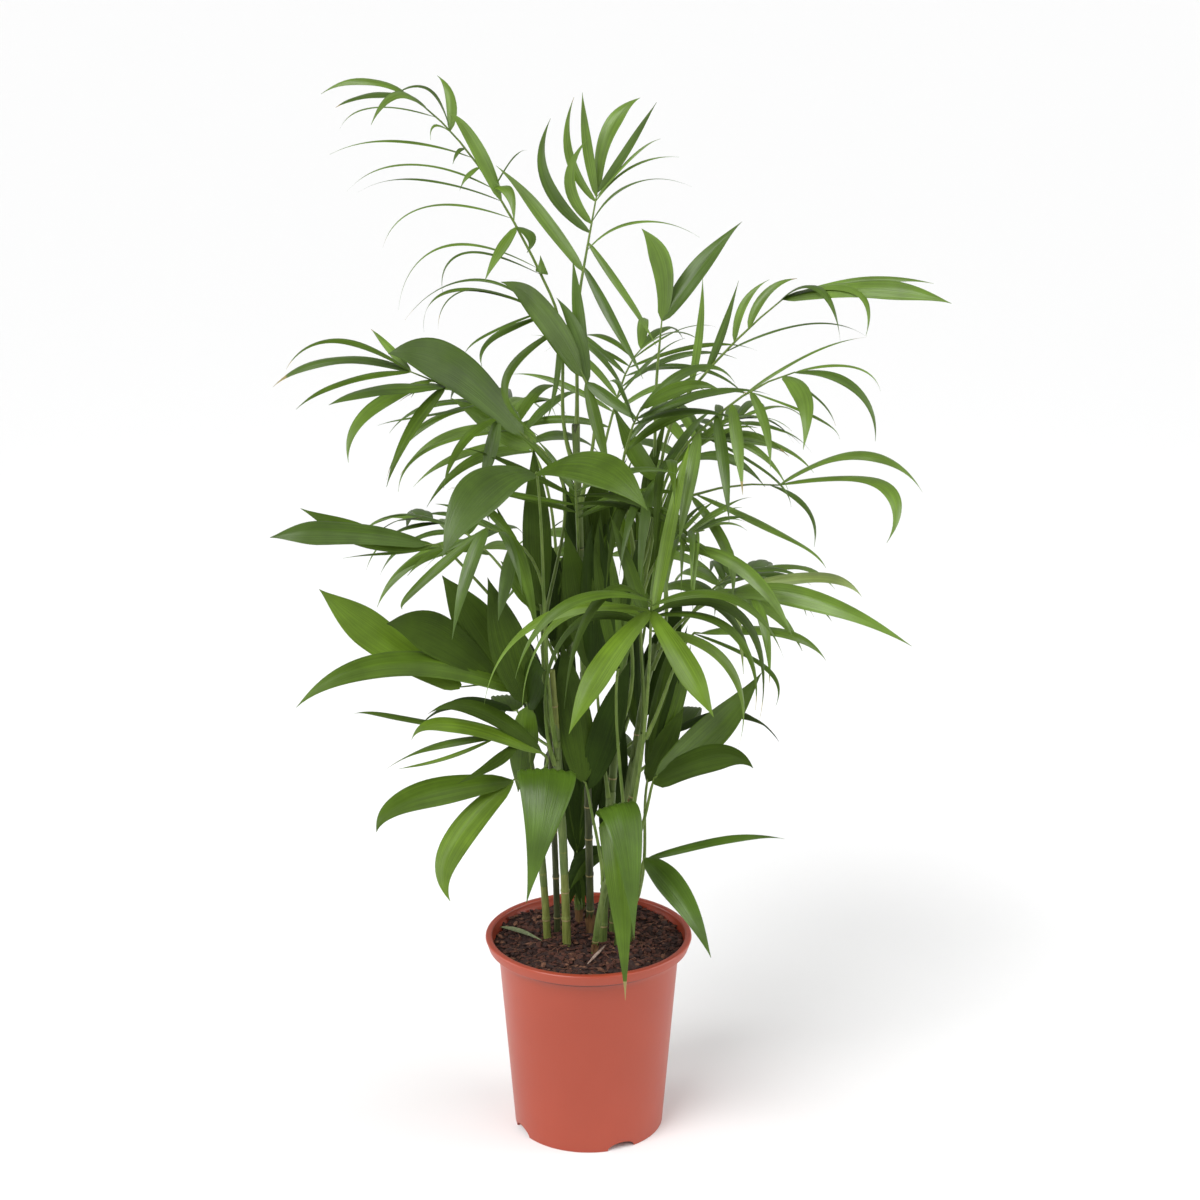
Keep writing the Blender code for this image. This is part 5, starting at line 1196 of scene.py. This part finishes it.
def add_leaf(shell, tips, leaf, dice):
    """Leaflet as a ridged blade: raised along its middle, pleated where it is broad, and a little wavy."""
    length = leaf.length()
    steps = max(12, min(30, round(length / 0.006)))
    pleats = 2 if leaf.width < 0.016 else (4 if leaf.width < 0.030 else 7)
    columns = pleats * 2 + 1
    ridge = (0.15 if leaf.width < 0.030 else 0.06) * leaf.width
    pleat = 0.0 if pleats == 2 else 0.018 * leaf.width
    twist = dice.uniform(-1, 1) * (0.7 if leaf.width < 0.012 else 0.3)
    wave = dice.uniform(0, 2 * math.pi)
    ripple = min(0.0016, 0.07 * leaf.width)
    rows = []
    spots = []
    for step in range(steps + 1):
        u = step / steps
        _, across, over = leaf.axes(u)
        turn = twist * u * u
        sideways = across * math.cos(turn) + over * math.sin(turn)
        outward = over * math.cos(turn) - across * math.sin(turn)
        half = half_width(leaf, u)
        fullness = 2 * half / leaf.width
        middle = leaf.spot(u) + over * length * TIP_HOOK * math.sin(math.pi * u ** 2.5)
        row = []
        spot = []
        for column in range(columns):
            c = 2 * column / (columns - 1) - 1
            lift = ridge * (1 - abs(c)) + pleat * (1 if column % 2 else -1)
            edge = ripple * abs(c) * math.sin(wave + 9 * u + (2 if c > 0 else 0)) * math.sin(math.pi * u)
            row.append(middle + sideways * half * c + outward * (lift * fullness + edge))
            spot.append((c * leaf.width / 2 + wave, u * length))
        rows.append(row)
        spots.append(spot)
    split = steps if tips is None else max(2, round(steps * dice.uniform(0.88, 0.95)))
    shell.grid(rows[:split + 1], spots=spots[:split + 1])
    if split < steps:
        tips.grid(rows[split:], spots=spots[split:])


# Colour, roughness and specular level of each leaf skin; the darkest skin is the leaf green darkened to paint the
# shade inside the crown
TINTS = {
    "shade": ((0.017, 0.035, 0.002), 0.60, 0.12),
    "deep": ((0.036, 0.066, 0.004), 0.55, 0.15),
    "lush": ((0.062, 0.112, 0.008), 0.38, 0.22),
    "fresh": ((0.098, 0.170, 0.010), 0.40, 0.26),
    "glossy": ((0.058, 0.112, 0.008), 0.34, 0.34),
    "mid": ((0.056, 0.104, 0.009), 0.38, 0.42),
    "bright": ((0.100, 0.175, 0.016), 0.38, 0.48),
    "pale": ((0.180, 0.240, 0.058), 0.42, 0.50),
    "tip": ((0.260, 0.215, 0.080), 0.55, 0.25),
}
# Beginnings of the fronds' names, and the skins that are dealt out in turn to their leaflets; the fronds inside the
# crown get mostly the two darkest skins, which paint the shade they stand in
TONES = (
    (("inner_centre", "back_low"), ("shade", "deep")),
    (("inner_foot", "inner_back"), ("shade", "deep", "shade")),
    (("inner_low", "fill"), ("deep", "shade", "lush")),
    (("inner_left", "inner_right"), ("deep", "lush", "deep", "fresh")),
    (("inner", "cross"), ("lush", "deep", "mid")),
    (("front_hang_left", "low_right_arc"), ("glossy", "glossy")),
    (("front_hang_right",), ("lush", "glossy")),
    (("low_right",), ("lush", "deep")),
    (("front_fan",), ("fresh", "fresh", "deep", "lush", "deep")),
    (("left_broad",), ("fresh", "deep", "deep", "lush")),
    (("left_low", "left_hanging"), ("lush", "fresh", "deep")),
    (("left_middle", "middle_high", "upper_left"), ("lush", "mid", "mid")),
    (("left_paddle", "centre"), ("mid", "lush", "bright")),
    (("left_high",), ("mid", "bright", "lush")),
    (("right_broad",), ("pale", "bright")),
    (("right_low_long", "right_high"), ("bright", "bright", "mid")),
    (("back",), ("bright", "mid", "lush")),
    (("",), ("bright", "mid", "bright")),
)


def between_leaves(frond):
    """Finer leaflets that stand between those of a frond's even rows."""
    found = []
    for row, sign, shift in ((frond.left, -1, 0.1), (frond.right, 1, 0.5)):
        if row is not None:
            finer = dict(row, width=row["width"] * 0.8, reach=row["reach"] * 0.9)
            found += [frond.row_leaf(finer, sign, number + 0.5, shift) for number in range(row["count"] - 1)]
    return found


def split_leaf(leaf, dice):
    """Narrower leaflets that share a broad one's place and outline."""
    root, control, tip = leaf.curve
    found = []
    for way in (-1, 0, 1):
        aside = unit(leaf.side) * leaf.width * way
        end = root + (tip - root) * (1.0 if way == 0 else dice.uniform(0.78, 0.96))
        found.append(Leaf(root + aside * 0.08, control + aside * 0.30, end + aside * 0.20,
                          leaf.width * dice.uniform(0.38, 0.52), leaf.face + aside * 8, leaf.base, leaf.fullest))
    return found


def turned(leaf):
    """A very narrow leaflet turned on its side, so that it shows its width from the front."""
    if leaf.width > NARROW:
        return leaf
    root, control, tip = leaf.curve
    return Leaf(root, control, tip, leaf.width, LEAN, leaf.base, leaf.fullest)


def dressed_leaves(frond, surface, dice):
    """The leaflets of the frond's solid as the look has them."""
    found = []
    for leaf in frond.leaves():
        settled = settle_leaf(leaf, surface)
        if settled is None:
            print("no solid for a leaflet of", frond.name)
        elif frond.name.startswith(SPLIT_FRONDS) and settled.width > SPLIT_WIDTH and dice.random() < 0.6:
            found += split_leaf(settled, dice)
        else:
            found.append(turned(settled))
    return found


def make_fronds():
    ribs = Shell()
    sheaths = Shell()
    blades = {tint: Shell() for tint in TINTS}
    nodes = []
    dice = random.Random(23)
    for frond in fronds():
        node = "frond_" + frond.name
        nodes.append(node)
        surface = solid_surface(node)
        settle_petiole(frond, surface)
        add_rib(ribs, frond)
        add_sheath(sheaths, frond, frond.stem, frond.share)
        tone = next(tints for names, tints in TONES if frond.name.startswith(names))
        for number, leaf in enumerate(dressed_leaves(frond, surface, dice)):
            dry = dice.random() < 0.12 and leaf.width < 0.014 or leaf.curve[2][2] < POT_HEIGHT
            tips = blades["tip"] if dry else None
            add_leaf(blades[tone[number % len(tone)]], tips, leaf, dice)
        if frond.name.startswith(("back", "middle", "cross")):
            for leaf in between_leaves(frond):
                add_leaf(blades[dice.choice(tone)], None, leaf, dice)
    ribs.piece("leaf_ribs", cane_look("rib_skin", (0.075, 0.125, 0.020), (0.150, 0.210, 0.045)), "leaf_green", nodes)
    sheaths.piece("leaf_sheaths", cane_look("sheath_skin", (0.060, 0.095, 0.020), (0.130, 0.175, 0.050)),
                  "leaf_green", nodes)
    for tint, shell in blades.items():
        shell.piece("leaflets_" + tint, leaf_look("leaf_" + tint, *TINTS[tint]), "leaf_green", nodes)


# Stage

def aim(made, place, target):
    made.location = place
    made.rotation_euler = (Vector(target) - Vector(place)).to_track_quat("-Z", "Y").to_euler()
    bpy.context.scene.collection.objects.link(made)


def area_light(name, place, size, power):
    lamp = bpy.data.lights.new(name, "AREA")
    lamp.shape = "SQUARE"
    lamp.size = size
    lamp.energy = power
    aim(bpy.data.objects.new(name, lamp), place, PLANT_MIDDLE)


def far_light(name, place, softness, strength):
    """Even light from far away, softened over an angle in degrees."""
    lamp = bpy.data.lights.new(name, "SUN")
    lamp.angle = math.radians(softness)
    lamp.energy = strength
    aim(bpy.data.objects.new(name, lamp), place, PLANT_MIDDLE)


def make_stage():
    half = 60.0
    mesh = bpy.data.meshes.new("floor")
    mesh.from_pydata([(-half, -half, 0), (half, -half, 0), (half, half, 0), (-half, half, 0)], [], [(0, 1, 2, 3)])
    floor = bpy.data.objects.new("floor", mesh)
    bpy.context.scene.collection.objects.link(floor)
    look, _, _, shader = blank_look("floor_pale", 0.9)
    shader.inputs["Base Color"].default_value = (0.86, 0.86, 0.86, 1.0)
    shader.inputs["Specular IOR Level"].default_value = 0.0
    mesh.materials.append(look)
    world = bpy.data.worlds.new("studio")
    bpy.context.scene.world = world
    world.use_nodes = True
    sky = world.node_tree.nodes["Background"]
    sky.inputs["Color"].default_value = (1.0, 1.0, 1.0, 1.0)
    sky.inputs["Strength"].default_value = 0.42
    far_light("key_left", (-2.0, -2.4, 3.4), 40, 2.6)
    far_light("fill_right", (2.6, -1.6, 2.2), 60, 1.1)
    area_light("side_left", (-2.2, 0.2, 0.9), 1.2, 18)
    area_light("side_right", (2.2, 0.2, 0.9), 1.2, 18)


def make_camera():
    lens = bpy.data.cameras.new("camera")
    lens.sensor_fit = "HORIZONTAL"
    lens.angle = math.radians(CAMERA_ANGLE)
    lens.clip_end = 200.0
    camera = bpy.data.objects.new("camera", lens)
    camera.location = CAMERA_PLACE
    camera.rotation_euler = (math.radians(90 - CAMERA_DIP), 0.0, 0.0)
    bpy.context.scene.collection.objects.link(camera)
    bpy.context.scene.camera = camera


make_pot()
make_soil()
make_canes()
make_fronds()
make_stage()
make_camera()
bpy.context.scene.view_settings.view_transform = "Standard"
